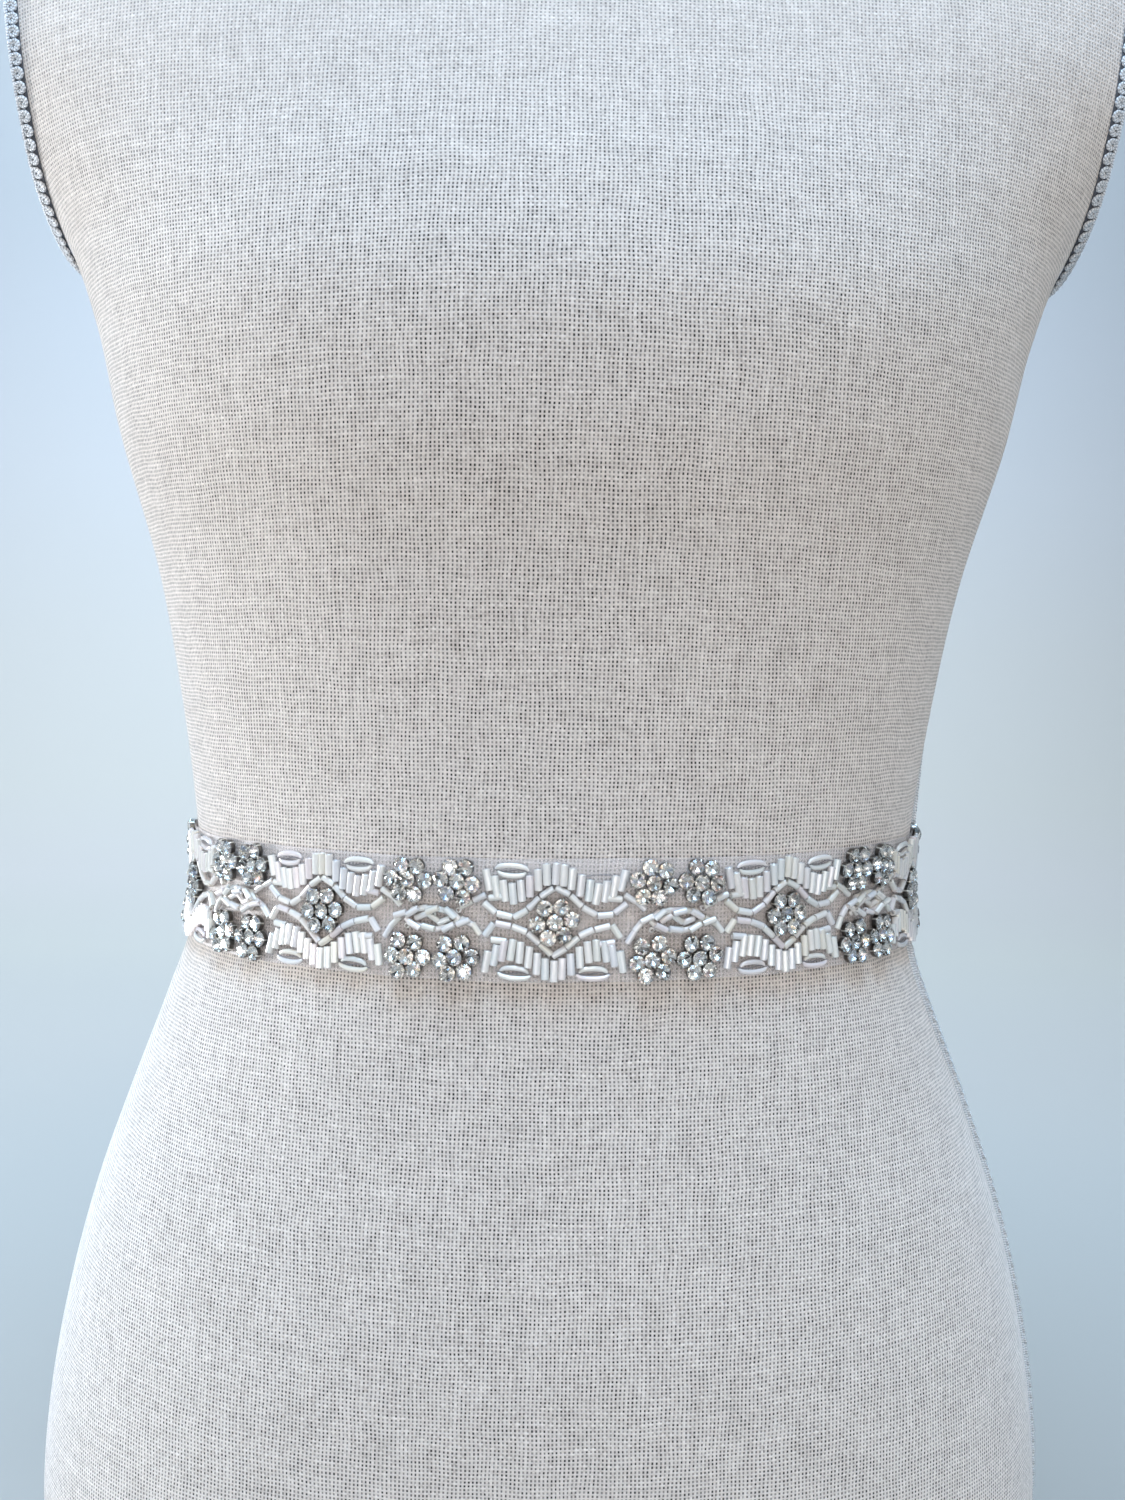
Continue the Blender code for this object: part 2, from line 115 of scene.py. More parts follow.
FORM_SECTIONS = (
    Section(0 * MM, 166.0 * MM, 6 * MM, -101.0 * MM, 109.0 * MM, 2.30),
    Section(60 * MM, 172.7 * MM, 8 * MM, -106.0 * MM, 121.0 * MM, 2.30),
    Section(95 * MM, 170.0 * MM, 8 * MM, -106.5 * MM, 123.0 * MM, 2.28),
    Section(130 * MM, 163.8 * MM, 8 * MM, -106.0 * MM, 120.0 * MM, 2.25),
    Section(165 * MM, 154.5 * MM, 6 * MM, -104.0 * MM, 113.0 * MM, 2.20),
    Section(196 * MM, 143.7 * MM, 4 * MM, -101.5 * MM, 105.0 * MM, 2.12),
    Section(229 * MM, 131.2 * MM, 1 * MM, -98.8 * MM, 95.0 * MM, 2.05),
    Section(255 * MM, 122.5 * MM, 0 * MM, -97.6 * MM, 87.5 * MM, 2.00),
    Section(274 * MM, 120.6 * MM, 0 * MM, -97.4 * MM, 85.5 * MM, 2.00),
    Section(297 * MM, 122.4 * MM, 0 * MM, -98.0 * MM, 86.0 * MM, 2.02),
    Section(330 * MM, 126.7 * MM, 0 * MM, -100.5 * MM, 89.5 * MM, 2.08),
    Section(370 * MM, 133.7 * MM, 0 * MM, -106.5 * MM, 96.0 * MM, 2.16),
    Section(415 * MM, 146.1 * MM, 1 * MM, -116.5 * MM, 102.0 * MM, 2.26),
    Section(450 * MM, 154.5 * MM, 3 * MM, -117.5 * MM, 105.5 * MM, 2.26),
    Section(475 * MM, 164.8 * MM, 5 * MM, -110.5 * MM, 106.5 * MM, 2.20),
    Section(500 * MM, 182.5 * MM, 7 * MM, -100.0 * MM, 106.0 * MM, 2.12),
    Section(535 * MM, 206.0 * MM, 10 * MM, -86.0 * MM, 103.0 * MM, 2.05),
    Section(570 * MM, 212.0 * MM, 13 * MM, -72.0 * MM, 96.0 * MM, 2.00),
    Section(600 * MM, 186.0 * MM, 16 * MM, -57.0 * MM, 86.0 * MM, 2.00),
    Section(621 * MM, 147.0 * MM, 18 * MM, -44.0 * MM, 76.0 * MM, 2.00),
    Section(637 * MM, 98.0 * MM, 18 * MM, -36.5 * MM, 68.0 * MM, 2.00),
    Section(653 * MM, 66.5 * MM, 16 * MM, -34.0 * MM, 62.0 * MM, 2.00),
    Section(676 * MM, 57.0 * MM, 13 * MM, -34.5 * MM, 58.0 * MM, 2.00),
    Section(710 * MM, 54.0 * MM, 10 * MM, -36.0 * MM, 56.0 * MM, 2.00),
)


def smooth_values(places: np.ndarray, knots: np.ndarray, values: np.ndarray) -> np.ndarray:
    """Reads a smooth curve through knots at many places.

    Args:
        places: Where to read the curve.
        knots: The places of its knots, rising.
        values: The curve's value at each knot.

    Returns:
        The curve's value at each place.
    """
    slopes = np.gradient(values, knots)
    i = np.clip(np.searchsorted(knots, places) - 1, 0, len(knots) - 2)
    width = knots[i + 1] - knots[i]
    t = (places - knots[i]) / width
    ends = (1 + 2 * t) * (1 - t) ** 2 * values[i] + t * t * (3 - 2 * t) * values[i + 1]
    return ends + width * (t * (1 - t) ** 2 * slopes[i] + t * t * (t - 1) * slopes[i + 1])


def unit(vectors: np.ndarray) -> np.ndarray:
    """Scales each vector to a length of one."""
    return vectors / np.maximum(np.linalg.norm(vectors, axis=-1, keepdims=True), 1e-12)


def lengths_along(points: np.ndarray) -> np.ndarray:
    """The length of a line of points up to each of them."""
    steps = np.linalg.norm(np.diff(points, axis=0), axis=1)
    return np.concatenate([[0.0], np.cumsum(steps)])


def spaced_evenly(points: np.ndarray, count: int) -> np.ndarray:
    """Draws a line of points again with evenly spaced ones.

    Args:
        points: The line's points, of any number of columns.
        count: How many points the new line has.

    Returns:
        The new points.
    """
    lengths = lengths_along(points)
    places = np.linspace(0, lengths[-1], count)
    columns = [np.interp(places, lengths, column) for column in points.T]
    return np.stack(columns, axis=1)


class FormShape:
    """The dress form's smooth skin, read from the table of its sections."""

    def __init__(self, sections: Sequence[Section]) -> None:
        """Takes the table and measures the skin across and up.

        Args:
            sections: The form's sections, from the lowest to the highest.
        """
        self.table = np.array([
            (s.height, s.half_width, s.side_line, s.front, s.back, s.power) for s in sections
        ])
        self.levels = np.linspace(0, FORM_TOP, 143)
        self.turns = np.linspace(0, math.pi, 181)
        grid = self.points(self.turns[None, :], self.levels[:, None])
        across = np.linalg.norm(np.diff(grid, axis=1), axis=2)
        rising = np.linalg.norm(np.diff(grid, axis=0), axis=2)
        self.girth = np.pad(np.cumsum(across, axis=1), ((0, 0), (1, 0)))
        self.rise = np.pad(np.cumsum(rising, axis=0), ((1, 0), (0, 0)))
        self.rise -= self.rise[int(np.searchsorted(self.levels, SASH_LEVEL))]

    def sections_at(self, height: np.ndarray) -> list[np.ndarray]:
        """The half width, side line, front, back and power at each height."""
        return [smooth_values(height, self.table[:, 0], self.table[:, i]) for i in range(1, 6)]

    def points(self, angle: np.ndarray, height: np.ndarray, out: np.ndarray = 0.0) -> np.ndarray:
        """Points of the skin, moved out level with the table.

        Args:
            angle: The turn of each point, 0 at the front and rising towards +X.
            height: The height of each point.
            out: How far each point lies out from the skin.

        Returns:
            The points, with x, y and z last.
        """
        angle, height, out = np.broadcast_arrays(
            np.asarray(angle, float), np.asarray(height, float), np.asarray(out, float)
        )
        half_width, side_line, front, back, power = self.sections_at(height)
        side, ahead = np.sin(angle), np.cos(angle)
        depth = np.where(ahead > 0, side_line - front, back - side_line)
        reach = np.abs(side / half_width) ** power + np.abs(ahead / depth) ** power
        radius = reach ** (-1 / power)
        x, y = radius * side, -radius * ahead
        outward = unit(np.stack([
            np.copysign(np.abs(x / half_width) ** (power - 1) / half_width, x),
            np.copysign(np.abs(y / depth) ** (power - 1) / depth, y),
            np.zeros_like(x),
        ], axis=-1))
        return np.stack([x, side_line + y, height], axis=-1) + outward * out[..., None]

    def normals(self, angle: np.ndarray, height: np.ndarray) -> np.ndarray:
        """The direction straight out of the skin at each turn and height."""
        turn, rise = 1e-3, 0.2 * MM
        ahead = self.points(angle + turn, height) - self.points(angle - turn, height)
        upward = self.points(angle, height + rise) - self.points(angle, height - rise)
        return unit(np.cross(ahead, upward))

    def angle_of(self, points: np.ndarray) -> np.ndarray:
        """The turn of each point round its section, from -pi to pi."""
        side_line = self.sections_at(points[..., 2])[1]
        return np.arctan2(points[..., 0], -(points[..., 1] - side_line))

    def measured(self, grid: np.ndarray, angle: np.ndarray, height: np.ndarray) -> np.ndarray:
        """Reads one of the two measured grids between its knots.

        Args:
            grid: The girth or the rise.
            angle: The turn of each point; its sign doesn't matter.
            height: The height of each point.

        Returns:
            The measure at each point.
        """
        row = np.clip(height / self.levels[1], 0, len(self.levels) - 1.001)
        column = np.clip(np.abs(angle) / self.turns[1], 0, len(self.turns) - 1.001)
        i, j = row.astype(int), column.astype(int)
        s, t = row - i, column - j
        low = grid[i, j] * (1 - t) + grid[i, j + 1] * t
        high = grid[i + 1, j] * (1 - t) + grid[i + 1, j + 1] * t
        return low * (1 - s) + high * s


class WaistLine:
    """The line round the waist that everything on the sash is placed from."""

    def __init__(self, form: FormShape) -> None:
        """Measures the waist from the front's middle to the back's.

        Args:
            form: The form that the sash is worn on.
        """
        self.form = form
        self.angles = np.linspace(0, math.pi, 721)
        self.lengths = lengths_along(form.points(self.angles, SASH_LEVEL, BAND_OUTSIDE))
        self.half_round = float(self.lengths[-1])

    def points(self, along: np.ndarray, up: np.ndarray, out: np.ndarray) -> np.ndarray:
        """Points of the sash in the row frame.

        Args:
            along: How far each point lies along the sash.
            up: How far it lies above the middle line.
            out: How far it lies out from the skin.

        Returns:
            The points, with x, y and z last.
        """
        along, up, out = np.broadcast_arrays(
            np.asarray(along, float), np.asarray(up, float), np.asarray(out, float)
        )
        length = np.abs(along)
        past = length > self.half_round
        folded = np.where(past, 2 * self.half_round - length, length)
        angle = np.interp(folded, self.lengths, self.angles)
        angle = np.copysign(np.where(past, 2 * math.pi - angle, angle), along)
        level = SASH_LEVEL + up
        tilted = level + SASH_TILT * self.form.points(angle, level)[..., 0]
        return self.form.points(angle, tilted, out)

    def frames(
        self, along: np.ndarray, up: np.ndarray, out: np.ndarray
    ) -> tuple[np.ndarray, np.ndarray]:
        """Places on the sash with the directions along it, up it and out of it.

        Args:
            along: How far each place lies along the sash.
            up: How far it lies above the middle line.
            out: How far it lies out from the skin.

        Returns:
            The places, and for each one its three directions as rows.
        """
        near = 0.5 * MM
        origin = self.points(along, up, out)
        ahead = self.points(along + near, up, out) - self.points(along - near, up, out)
        rise = self.points(along, up + near, out) - self.points(along, up - near, out)
        outward = unit(np.cross(ahead, rise))
        ahead = unit(ahead)
        return origin, np.stack([ahead, np.cross(outward, ahead), outward], axis=-2)


@dataclass
class Shape:
    """Points and faces of a small shape, with a finish and a picture place for each face."""

    points: np.ndarray
    faces: list[tuple[int, ...]]
    slots: list[int] = field(default_factory=list)
    places: list[list[tuple[float, float]]] = field(default_factory=list)

    def __post_init__(self) -> None:
        """Fills in the first finish, and no picture places, where none are given."""
        self.slots = self.slots or [0] * len(self.faces)
        self.places = self.places or [[(0.0, 0.0)] * len(face) for face in self.faces]


def tube(path: np.ndarray, outward: np.ndarray, radius: np.ndarray, sides: int, flat: float = 1.0) -> Shape:
    """A closed tube that follows a path.

    Args:
        path: The points of its middle line.
        outward: The direction away from what it lies on, one for all points or one for each.
        radius: Its radius, one for all points or one for each.
        sides: How many sides it has.
        flat: Its thickness as a share of its width.

    Returns:
        The tube, with picture places along and round it.
    """
    count = len(path)
    ahead = unit(np.gradient(path, axis=0))
    outward = np.broadcast_to(outward, path.shape)
    across = unit(np.cross(outward, ahead))
    outward = np.cross(ahead, across)
    radius = np.broadcast_to(radius, count)[:, None, None]
    turn = np.linspace(0, 2 * math.pi, sides, endpoint=False)[None, :, None]
    ring = across[:, None] * np.cos(turn) + outward[:, None] * np.sin(turn) * flat
    points = (path[:, None] + radius * ring).reshape(-1, 3)
    lengths = lengths_along(path)
    faces, places = [], []
    for i in range(count - 1):
        for j in range(sides):
            k = (j + 1) % sides
            a, b = i * sides, (i + 1) * sides
            faces.append((a + j, a + k, b + k, b + j))
            left, right = j / sides, (j + 1) / sides
            low, high = lengths[i], lengths[i + 1]
            places.append([(low, left), (low, right), (high, right), (high, left)])
    for start in (0, (count - 1) * sides):
        faces.append(tuple(range(start, start + sides)))
        places.append([(0.0, 0.0)] * sides)
    return Shape(points, faces, [0] * len(faces), places)


def turned(profile: Sequence[tuple[float, float]], sides: int, closed: bool = False) -> Shape:
    """A shape turned round the Z axis.

    Args:
        profile: Its radius and height at each point; a radius of nought closes it there.
        sides: How many sides it has.
        closed: Whether the profile joins up, as a ring's does.

    Returns:
        The turned shape.
    """
    points: list[tuple[float, float, float]] = []
    rows: list[list[int]] = []
    turns = np.linspace(0, 2 * math.pi, sides, endpoint=False)
    for radius, height in profile:
        start = len(points)
        if radius == 0:
            points.append((0.0, 0.0, height))
            rows.append([start] * sides)
        else:
            points += [(radius * math.cos(t), radius * math.sin(t), height) for t in turns]
            rows.append(list(range(start, start + sides)))
    faces = []
    pairs = list(zip(rows, rows[1:])) + ([(rows[-1], rows[0])] if closed else [])
    for low, high in pairs:
        for i in range(sides):
            j = (i + 1) % sides
            face = (low[i], low[j], high[j], high[i])
            faces.append(tuple(dict.fromkeys(face)))
    return Shape(np.array(points), faces)


class PieceMesh:
    """Gathers many small shapes into the one mesh of a named piece."""

    def __init__(self, name: str, materials: Sequence[bpy.types.Material]) -> None:
        """Starts an empty piece.

        Args:
            name: The piece's name.
            materials: Its materials, in the order of the shapes' slots.
        """
        self.name = name
        self.materials = list(materials)
        self.points: list[np.ndarray] = []
        self.faces: list[tuple[int, ...]] = []
        self.slots: list[int] = []
        self.tones: list[float] = []
        self.places: list[tuple[float, float]] = []
        self.count = 0

    def add(self, shape: Shape, tones: np.ndarray | float = 0.5) -> None:
        """Adds a shape as it stands.

        Args:
            shape: The shape, in the row frame.
            tones: How light each face is, from 0 to 1, or one number for all.
        """
        start = self.count
        self.points.append(shape.points)
        self.faces += [tuple(start + i for i in face) for face in shape.faces]
        self.slots += shape.slots
        self.tones += np.broadcast_to(tones, len(shape.faces)).tolist()
        for corners in shape.places:
            self.places += corners
        self.count += len(shape.points)

    def add_at(
        self, shape: Shape, origin: np.ndarray, axes: np.ndarray, tones: np.ndarray | float = 0.5
    ) -> None:
        """Adds a copy of a shape, moved and turned.

        Args:
            shape: The shape about its own origin.
            origin: Where that origin goes.
            axes: The directions that its x, y and z take, as rows.
            tones: How light each face is, from 0 to 1, or one number for all.
        """
        moved = Shape(shape.points @ axes + origin, shape.faces, shape.slots, shape.places)
        self.add(moved, tones)

    def build(self, sharp_over: float = 40.0) -> bpy.types.Object:
        """Makes the mesh and its object, with all faces turned outwards.

        Args:
            sharp_over: Edges sharper than this many degrees are shaded as edges.

        Returns:
            The piece's object, in the scene.
        """
        mesh = bpy.data.meshes.new(self.name)
        mesh.from_pydata(np.concatenate(self.points).tolist(), [], self.faces)
        mesh.polygons.foreach_set("material_index", self.slots)
        mesh.attributes.new("tone", "FLOAT", "FACE").data.foreach_set("value", self.tones)
        uv = mesh.uv_layers.new(name="thread")
        uv.uv.foreach_set("vector", np.array(self.places, np.float32).ravel())
        shape = bmesh.new()
        shape.from_mesh(mesh)
        bmesh.ops.recalc_face_normals(shape, faces=shape.faces)
        shape.to_mesh(mesh)
        shape.free()
        return self.dress(mesh, sharp_over)

    def dress(self, mesh: bpy.types.Mesh, sharp_over: float) -> bpy.types.Object:
        """Gives a mesh its materials and shading, and an object in the scene.

        Args:
            mesh: The finished mesh.
            sharp_over: Edges sharper than this many degrees are shaded as edges.

        Returns:
            The piece's object, riding on the frame's body.
        """
        for material in self.materials:
            mesh.materials.append(material)
        mesh.shade_smooth()
        mesh.set_sharp_from_angle(angle=math.radians(sharp_over))
        piece = bpy.data.objects.new(self.name, mesh)
        bpy.context.scene.collection.objects.link(piece)
        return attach(piece, BODY)


def linear(code: str, alpha: float = 1.0) -> tuple[float, float, float, float]:
    """Turns an sRGB hex colour into linear numbers.

    Args:
        code: Six hex digits after a #.
        alpha: The fourth number.

    Returns:
        Red, green, blue and alpha.
    """
    parts = [int(code[i:i + 2], 16) / 255 for i in (1, 3, 5)]
    red, green, blue = (c / 12.92 if c <= 0.04045 else ((c + 0.055) / 1.055) ** 2.4 for c in parts)
    return (red, green, blue, alpha)


def add_node(
    tree: bpy.types.NodeTree,
    kind: str,
    settings: dict[str, object] | None = None,
    inputs: dict[str | int, object] | None = None,
    output: str | int = 0,
) -> bpy.types.NodeSocket | None:
    """Adds a node with its settings, socket values and links.

    Args:
        tree: The node tree it goes into.
        kind: The node's type.
        settings: Its properties by name.
        inputs: Its inputs by name or number, each a value or another node's output.
        output: Which of its outputs is wanted.

    Returns:
        The wanted output, or None for a node that has none.
    """
    node = tree.nodes.new(kind)
    for name, value in (settings or {}).items():
        setattr(node, name, value)
    for socket, value in (inputs or {}).items():
        if isinstance(value, bpy.types.NodeSocket):
            tree.links.new(value, node.inputs[socket])
        else:
            node.inputs[socket].default_value = value
    return node.outputs[output] if node.outputs else None


@dataclass(frozen=True)
class Ramp:
    """Colours or shades between two ends, for a ramp node."""

    stops: tuple[tuple[float, str], ...]

    def add(self, tree: bpy.types.NodeTree, factor: bpy.types.NodeSocket) -> bpy.types.NodeSocket:
        """Adds the ramp to a tree.

        Args:
            tree: The node tree it goes into.
            factor: What moves along the ramp.

        Returns:
            The ramp's colour.
        """
        colour = add_node(tree, "ShaderNodeValToRGB", inputs={"Fac": factor}, output="Color")
        ramp = colour.node.color_ramp
        while len(ramp.elements) < len(self.stops):
            ramp.elements.new(0.5)
        for element, (place, code) in zip(ramp.elements, self.stops):
            element.position = place
        for element, (place, code) in zip(ramp.elements, self.stops):
            element.color = linear(code)
        return colour


class Finish:
    """What every finish shares: one material for each name, made once."""

    name: str

    def material(self) -> bpy.types.Material:
        """The finish's material, made the first time it is asked for."""
        found = bpy.data.materials.get(self.name)
        if found is None:
            found = bpy.data.materials.new(self.name)
            found.use_nodes = True
            found.node_tree.nodes.clear()
            surface = self.surface(found.node_tree)
            add_node(found.node_tree, "ShaderNodeOutputMaterial", inputs={"Surface": surface})
        return found

    def surface(self, tree: bpy.types.NodeTree) -> bpy.types.NodeSocket:
        """Builds the finish's shader; each finish has its own."""
        raise NotImplementedError


@dataclass(frozen=True)
class YarnSet:
    """What the weave needs at each point of one set of parallel yarns."""

    body: bpy.types.NodeSocket
    tone: bpy.types.NodeSocket
    swap: bpy.types.NodeSocket
    gap_number: bpy.types.NodeSocket


@dataclass(frozen=True)
class WovenLinen(Finish):
    """Natural linen, plain woven from slubby yarn and left unbleached, stretched on the form.

    The open weave shows a grid of fine holes, no two the same size, between single yarns
    that are thicker, paler or browner than their neighbours. The holes' dark is painted shade.
    """

    name: str = "natural_linen_plain_woven"
    # The real yarns lie 1.1 mm apart; 1.2 mm is the finest that shows.
    thread_spacing: float = 1.2 * MM
    light: str = "#EDE4DE"
    dark: str = "#CDC2BB"
    # Painted shade: the dark in the holes, where the padding beneath lies in shade.
    hole: str = "#28231F"
    roughness: float = 0.9
    # How deep into a yarn the painted shade of its gap is darkest and ends.
    # The wefts are thinner than the warps.
    warp_gap_shade: tuple[float, float] = (0.42, 1.02)
    weft_gap_shade: tuple[float, float] = (0.58, 1.26)

    def yarns(
        self,
        tree: bpy.types.NodeTree,
        across: bpy.types.NodeSocket,
        along: bpy.types.NodeSocket,
        wobble: bpy.types.NodeSocket,
    ) -> YarnSet:
        """One set of parallel yarns.

        Args:
            tree: The node tree it goes into.
            across: The measure across the yarns, in metres.
            along: The measure along them.
            wobble: How far the yarns stray, as a share of their spacing, about 0.5.

        Returns:
            How deep a point is in its yarn (0 in a gap, 1 on its middle, more where the yarn
            swells), the yarn's tone, the wave that swaps from one yarn to the next, and the
            number of the gap beside it.
        """
        counted = add_node(tree, "ShaderNodeMath", {"operation": "MULTIPLY_ADD"},
                           {0: across, 1: 1 / self.thread_spacing, 2: wobble})
        full = add_node(tree, "ShaderNodeMath", {"operation": "MULTIPLY"}, {0: counted, 1: 2 * math.pi})
        wave = add_node(tree, "ShaderNodeMath", {"operation": "SINE"}, {0: full})
        near = add_node(tree, "ShaderNodeMath", {"operation": "MULTIPLY_ADD"}, {0: wave, 1: 0.5, 2: 0.5})
        half = add_node(tree, "ShaderNodeMath", {"operation": "MULTIPLY"}, {0: counted, 1: math.pi})
        turned_half = add_node(tree, "ShaderNodeMath", {"operation": "SINE"}, {0: half})
        numbers = []
        for shift in (0.25, -0.25):
            moved = add_node(tree, "ShaderNodeMath", {"operation": "ADD"}, {0: counted, 1: shift})
            numbers.append(add_node(tree, "ShaderNodeMath", {"operation": "FLOOR"}, {0: moved}))
        # Slubs: each yarn swells and thins over 3 to 20 mm of its length.
        noises = []
        for changes in (55.0, 300.0):
            apart = add_node(tree, "ShaderNodeMath", {"operation": "MULTIPLY"}, {0: numbers[0], 1: 7.31})
            length = add_node(tree, "ShaderNodeMath", {"operation": "MULTIPLY"}, {0: along, 1: changes})
            place = add_node(tree, "ShaderNodeCombineXYZ", inputs={0: apart, 1: length})
            noises.append(add_node(tree, "ShaderNodeTexNoise", {"noise_dimensions": "2D"},
                                   {"Vector": place, "Scale": 1.0, "Detail": 1.0}))
        swell = add_node(tree, "ShaderNodeMath", {"operation": "ADD"}, {0: noises[0], 1: noises[1]})
        body = add_node(tree, "ShaderNodeMath", {"operation": "MULTIPLY_ADD"}, {0: swell, 1: 0.32, 2: near})
        return YarnSet(body, swell, turned_half, numbers[1])

    def surface(self, tree: bpy.types.NodeTree) -> bpy.types.NodeSocket:
        """Builds the linen.

        Args:
            tree: The material's empty node tree.

        Returns:
            The shader.
        """
        uv = add_node(tree, "ShaderNodeUVMap", {"uv_map": "thread"})
        across = add_node(tree, "ShaderNodeSeparateXYZ", inputs={0: uv}, output=0)
        up = across.node.outputs[1]
        stray = add_node(tree, "ShaderNodeTexNoise", {"noise_dimensions": "2D"},
                         {"Vector": uv, "Scale": 60.0, "Detail": 1.0}, output="Color")
        apart = add_node(tree, "ShaderNodeSeparateColor", inputs={0: stray}, output=0)
        warp = self.yarns(tree, across, up, apart)
        weft = self.yarns(tree, up, across, apart.node.outputs[1])
        # A hole, dark with painted shade, shows only where it is beside a warp yarn and beside a weft yarn.
        beside = [add_node(tree, "ShaderNodeMapRange", {"interpolation_type": "SMOOTHSTEP"},
                           {0: yarns.body, 1: low, 2: high, 3: 1.0, 4: 0.0})
                  for yarns, (low, high) in ((warp, self.warp_gap_shade), (weft, self.weft_gap_shade))]
        gap = add_node(tree, "ShaderNodeMath", {"operation": "MULTIPLY"}, {0: beside[0], 1: beside[1]})
        cell = add_node(tree, "ShaderNodeCombineXYZ", inputs={0: warp.gap_number, 1: weft.gap_number})
        luck = add_node(tree, "ShaderNodeTexWhiteNoise", {"noise_dimensions": "2D"}, {"Vector": cell})
        depth = add_node(tree, "ShaderNodeMapRange", inputs={0: luck, 3: 0.55, 4: 1.05})
        # Painted light: over the chest, where the light from above falls, the holes' painted shade is paler.
        height = add_node(tree, "ShaderNodeSeparateXYZ",
                          inputs={0: add_node(tree, "ShaderNodeTexCoord", output="Object")}, output=2)
        top_light_lift = add_node(tree, "ShaderNodeMapRange", {"interpolation_type": "SMOOTHSTEP"},
                         {0: height, 1: 0.45, 2: 0.56, 3: 1.0, 4: 0.55})
        deep = add_node(tree, "ShaderNodeMath", {"operation": "MULTIPLY"}, {0: depth, 1: top_light_lift})
        hole = add_node(tree, "ShaderNodeMath", {"operation": "MULTIPLY", "use_clamp": True}, {0: gap, 1: deep})
        # Where two yarns cross, the tone is that of the one on top.
        crossing = add_node(tree, "ShaderNodeMath", {"operation": "MULTIPLY"}, {0: warp.swap, 1: weft.swap})
        on_top = add_node(tree, "ShaderNodeMath", {"operation": "GREATER_THAN"}, {0: crossing, 1: 0.0})
        tone = add_node(tree, "ShaderNodeMix", {"data_type": "FLOAT"}, {0: on_top, 2: weft.tone, 3: warp.tone})
        shade = add_node(tree, "ShaderNodeMapRange", inputs={0: tone, 1: 0.4, 2: 1.6})
        yarn = add_node(tree, "ShaderNodeMix", {"data_type": "RGBA"},
                        {"Factor": shade, 6: linear(self.dark), 7: linear(self.light)}, output=2)
        # The holes are filled with painted shade.
        cloth = add_node(tree, "ShaderNodeMix", {"data_type": "RGBA"},
                         {"Factor": hole, 6: yarn, 7: linear(self.hole)}, output=2)
        swollen = add_node(tree, "ShaderNodeMath", {"operation": "MAXIMUM"}, {0: warp.body, 1: weft.body})
        relief = add_node(tree, "ShaderNodeMath", {"operation": "MULTIPLY_ADD"},
                          {0: crossing, 1: 0.35, 2: swollen})
        normal = add_node(tree, "ShaderNodeBump", inputs={
            "Strength": 0.55, "Distance": 0.22 * MM, "Height": relief}, output="Normal")
        return add_node(tree, "ShaderNodeBsdfPrincipled", inputs={
            "Base Color": cloth, "Roughness": self.roughness, "IOR": 1.5, "Normal": normal,
            "Sheen Weight": 0.35, "Sheen Roughness": 0.5, "Diffuse Roughness": 0.6})


@dataclass(frozen=True)
class GimpCord(Finish):
    """Viscose gimp: cotton cords spun over with bright viscose, looped into a braid.

    It gives a soft grey-white sheen broken by the slanting turns of the yarn,
    with painted shade in the grooves between them.
    """

    name: str = "viscose_gimp_spun"
    # The real turns are 0.35 mm apart; 0.9 mm is the finest that shows.
    turn_spacing: float = 0.9 * MM
    light: str = "#E4E5E8"
    # The dark is painted shade in the grooves between the turns.
    dark: str = "#A9ADB4"
    roughness: float = 0.5

    def surface(self, tree: bpy.types.NodeTree) -> bpy.types.NodeSocket:
        """Builds the cord.

        Args:
            tree: The material's empty node tree.

        Returns:
            The shader.
        """
        uv = add_node(tree, "ShaderNodeUVMap", {"uv_map": "thread"})
        along = add_node(tree, "ShaderNodeSeparateXYZ", inputs={0: uv}, output=0)
        turns = add_node(tree, "ShaderNodeMath", {"operation": "MULTIPLY_ADD"},
                         {0: along, 1: 1 / self.turn_spacing, 2: along.node.outputs[1]})
        angle = add_node(tree, "ShaderNodeMath", {"operation": "MULTIPLY"}, {0: turns, 1: 2 * math.pi})
        wave = add_node(tree, "ShaderNodeMath", {"operation": "SINE"}, {0: angle})
        # Painted shade: the colour darkens in the grooves, where the turns' relief is lowest.
        shade = add_node(tree, "ShaderNodeMapRange", inputs={0: wave, 1: -1.0, 2: 0.3})
        colour = add_node(tree, "ShaderNodeMix", {"data_type": "RGBA"},
                          {"Factor": shade, 6: linear(self.dark), 7: linear(self.light)}, output=2)
        normal = add_node(tree, "ShaderNodeBump", inputs={
            "Strength": 0.6, "Distance": 0.12 * MM, "Height": wave}, output="Normal")
        return add_node(tree, "ShaderNodeBsdfPrincipled", inputs={
            "Base Color": colour, "Roughness": self.roughness, "IOR": 1.47, "Normal": normal,
            "Sheen Weight": 0.25})


@dataclass(frozen=True)
class DullThread(Finish):
    """Spun thread, dyed and left matt, or the braid's tape, dark with painted shade; a fine fuzz takes its edges off.
    """

    name: str = "braid_tape_painted_shade"
    # By default the braid's tape, whose dark is painted shade between the scrolls.
    light: str = "#63666E"
    dark: str = "#3A3C44"
    roughness: float = 0.85

    def surface(self, tree: bpy.types.NodeTree) -> bpy.types.NodeSocket:
        """Builds the thread.

        Args:
            tree: The material's empty node tree.

        Returns:
            The shader.
        """
        place = add_node(tree, "ShaderNodeTexCoord", output="Object")
        grain = add_node(tree, "ShaderNodeTexNoise", inputs={"Vector": place, "Scale": 1800.0, "Detail": 2.0})
        colour = add_node(tree, "ShaderNodeMix", {"data_type": "RGBA"},
                          {"Factor": grain, 6: linear(self.dark), 7: linear(self.light)}, output=2)
        normal = add_node(tree, "ShaderNodeBump", inputs={
            "Strength": 0.4, "Distance": 0.05 * MM, "Height": grain}, output="Normal")
        return add_node(tree, "ShaderNodeBsdfPrincipled", inputs={
            "Base Color": colour, "Roughness": self.roughness, "IOR": 1.5, "Normal": normal})


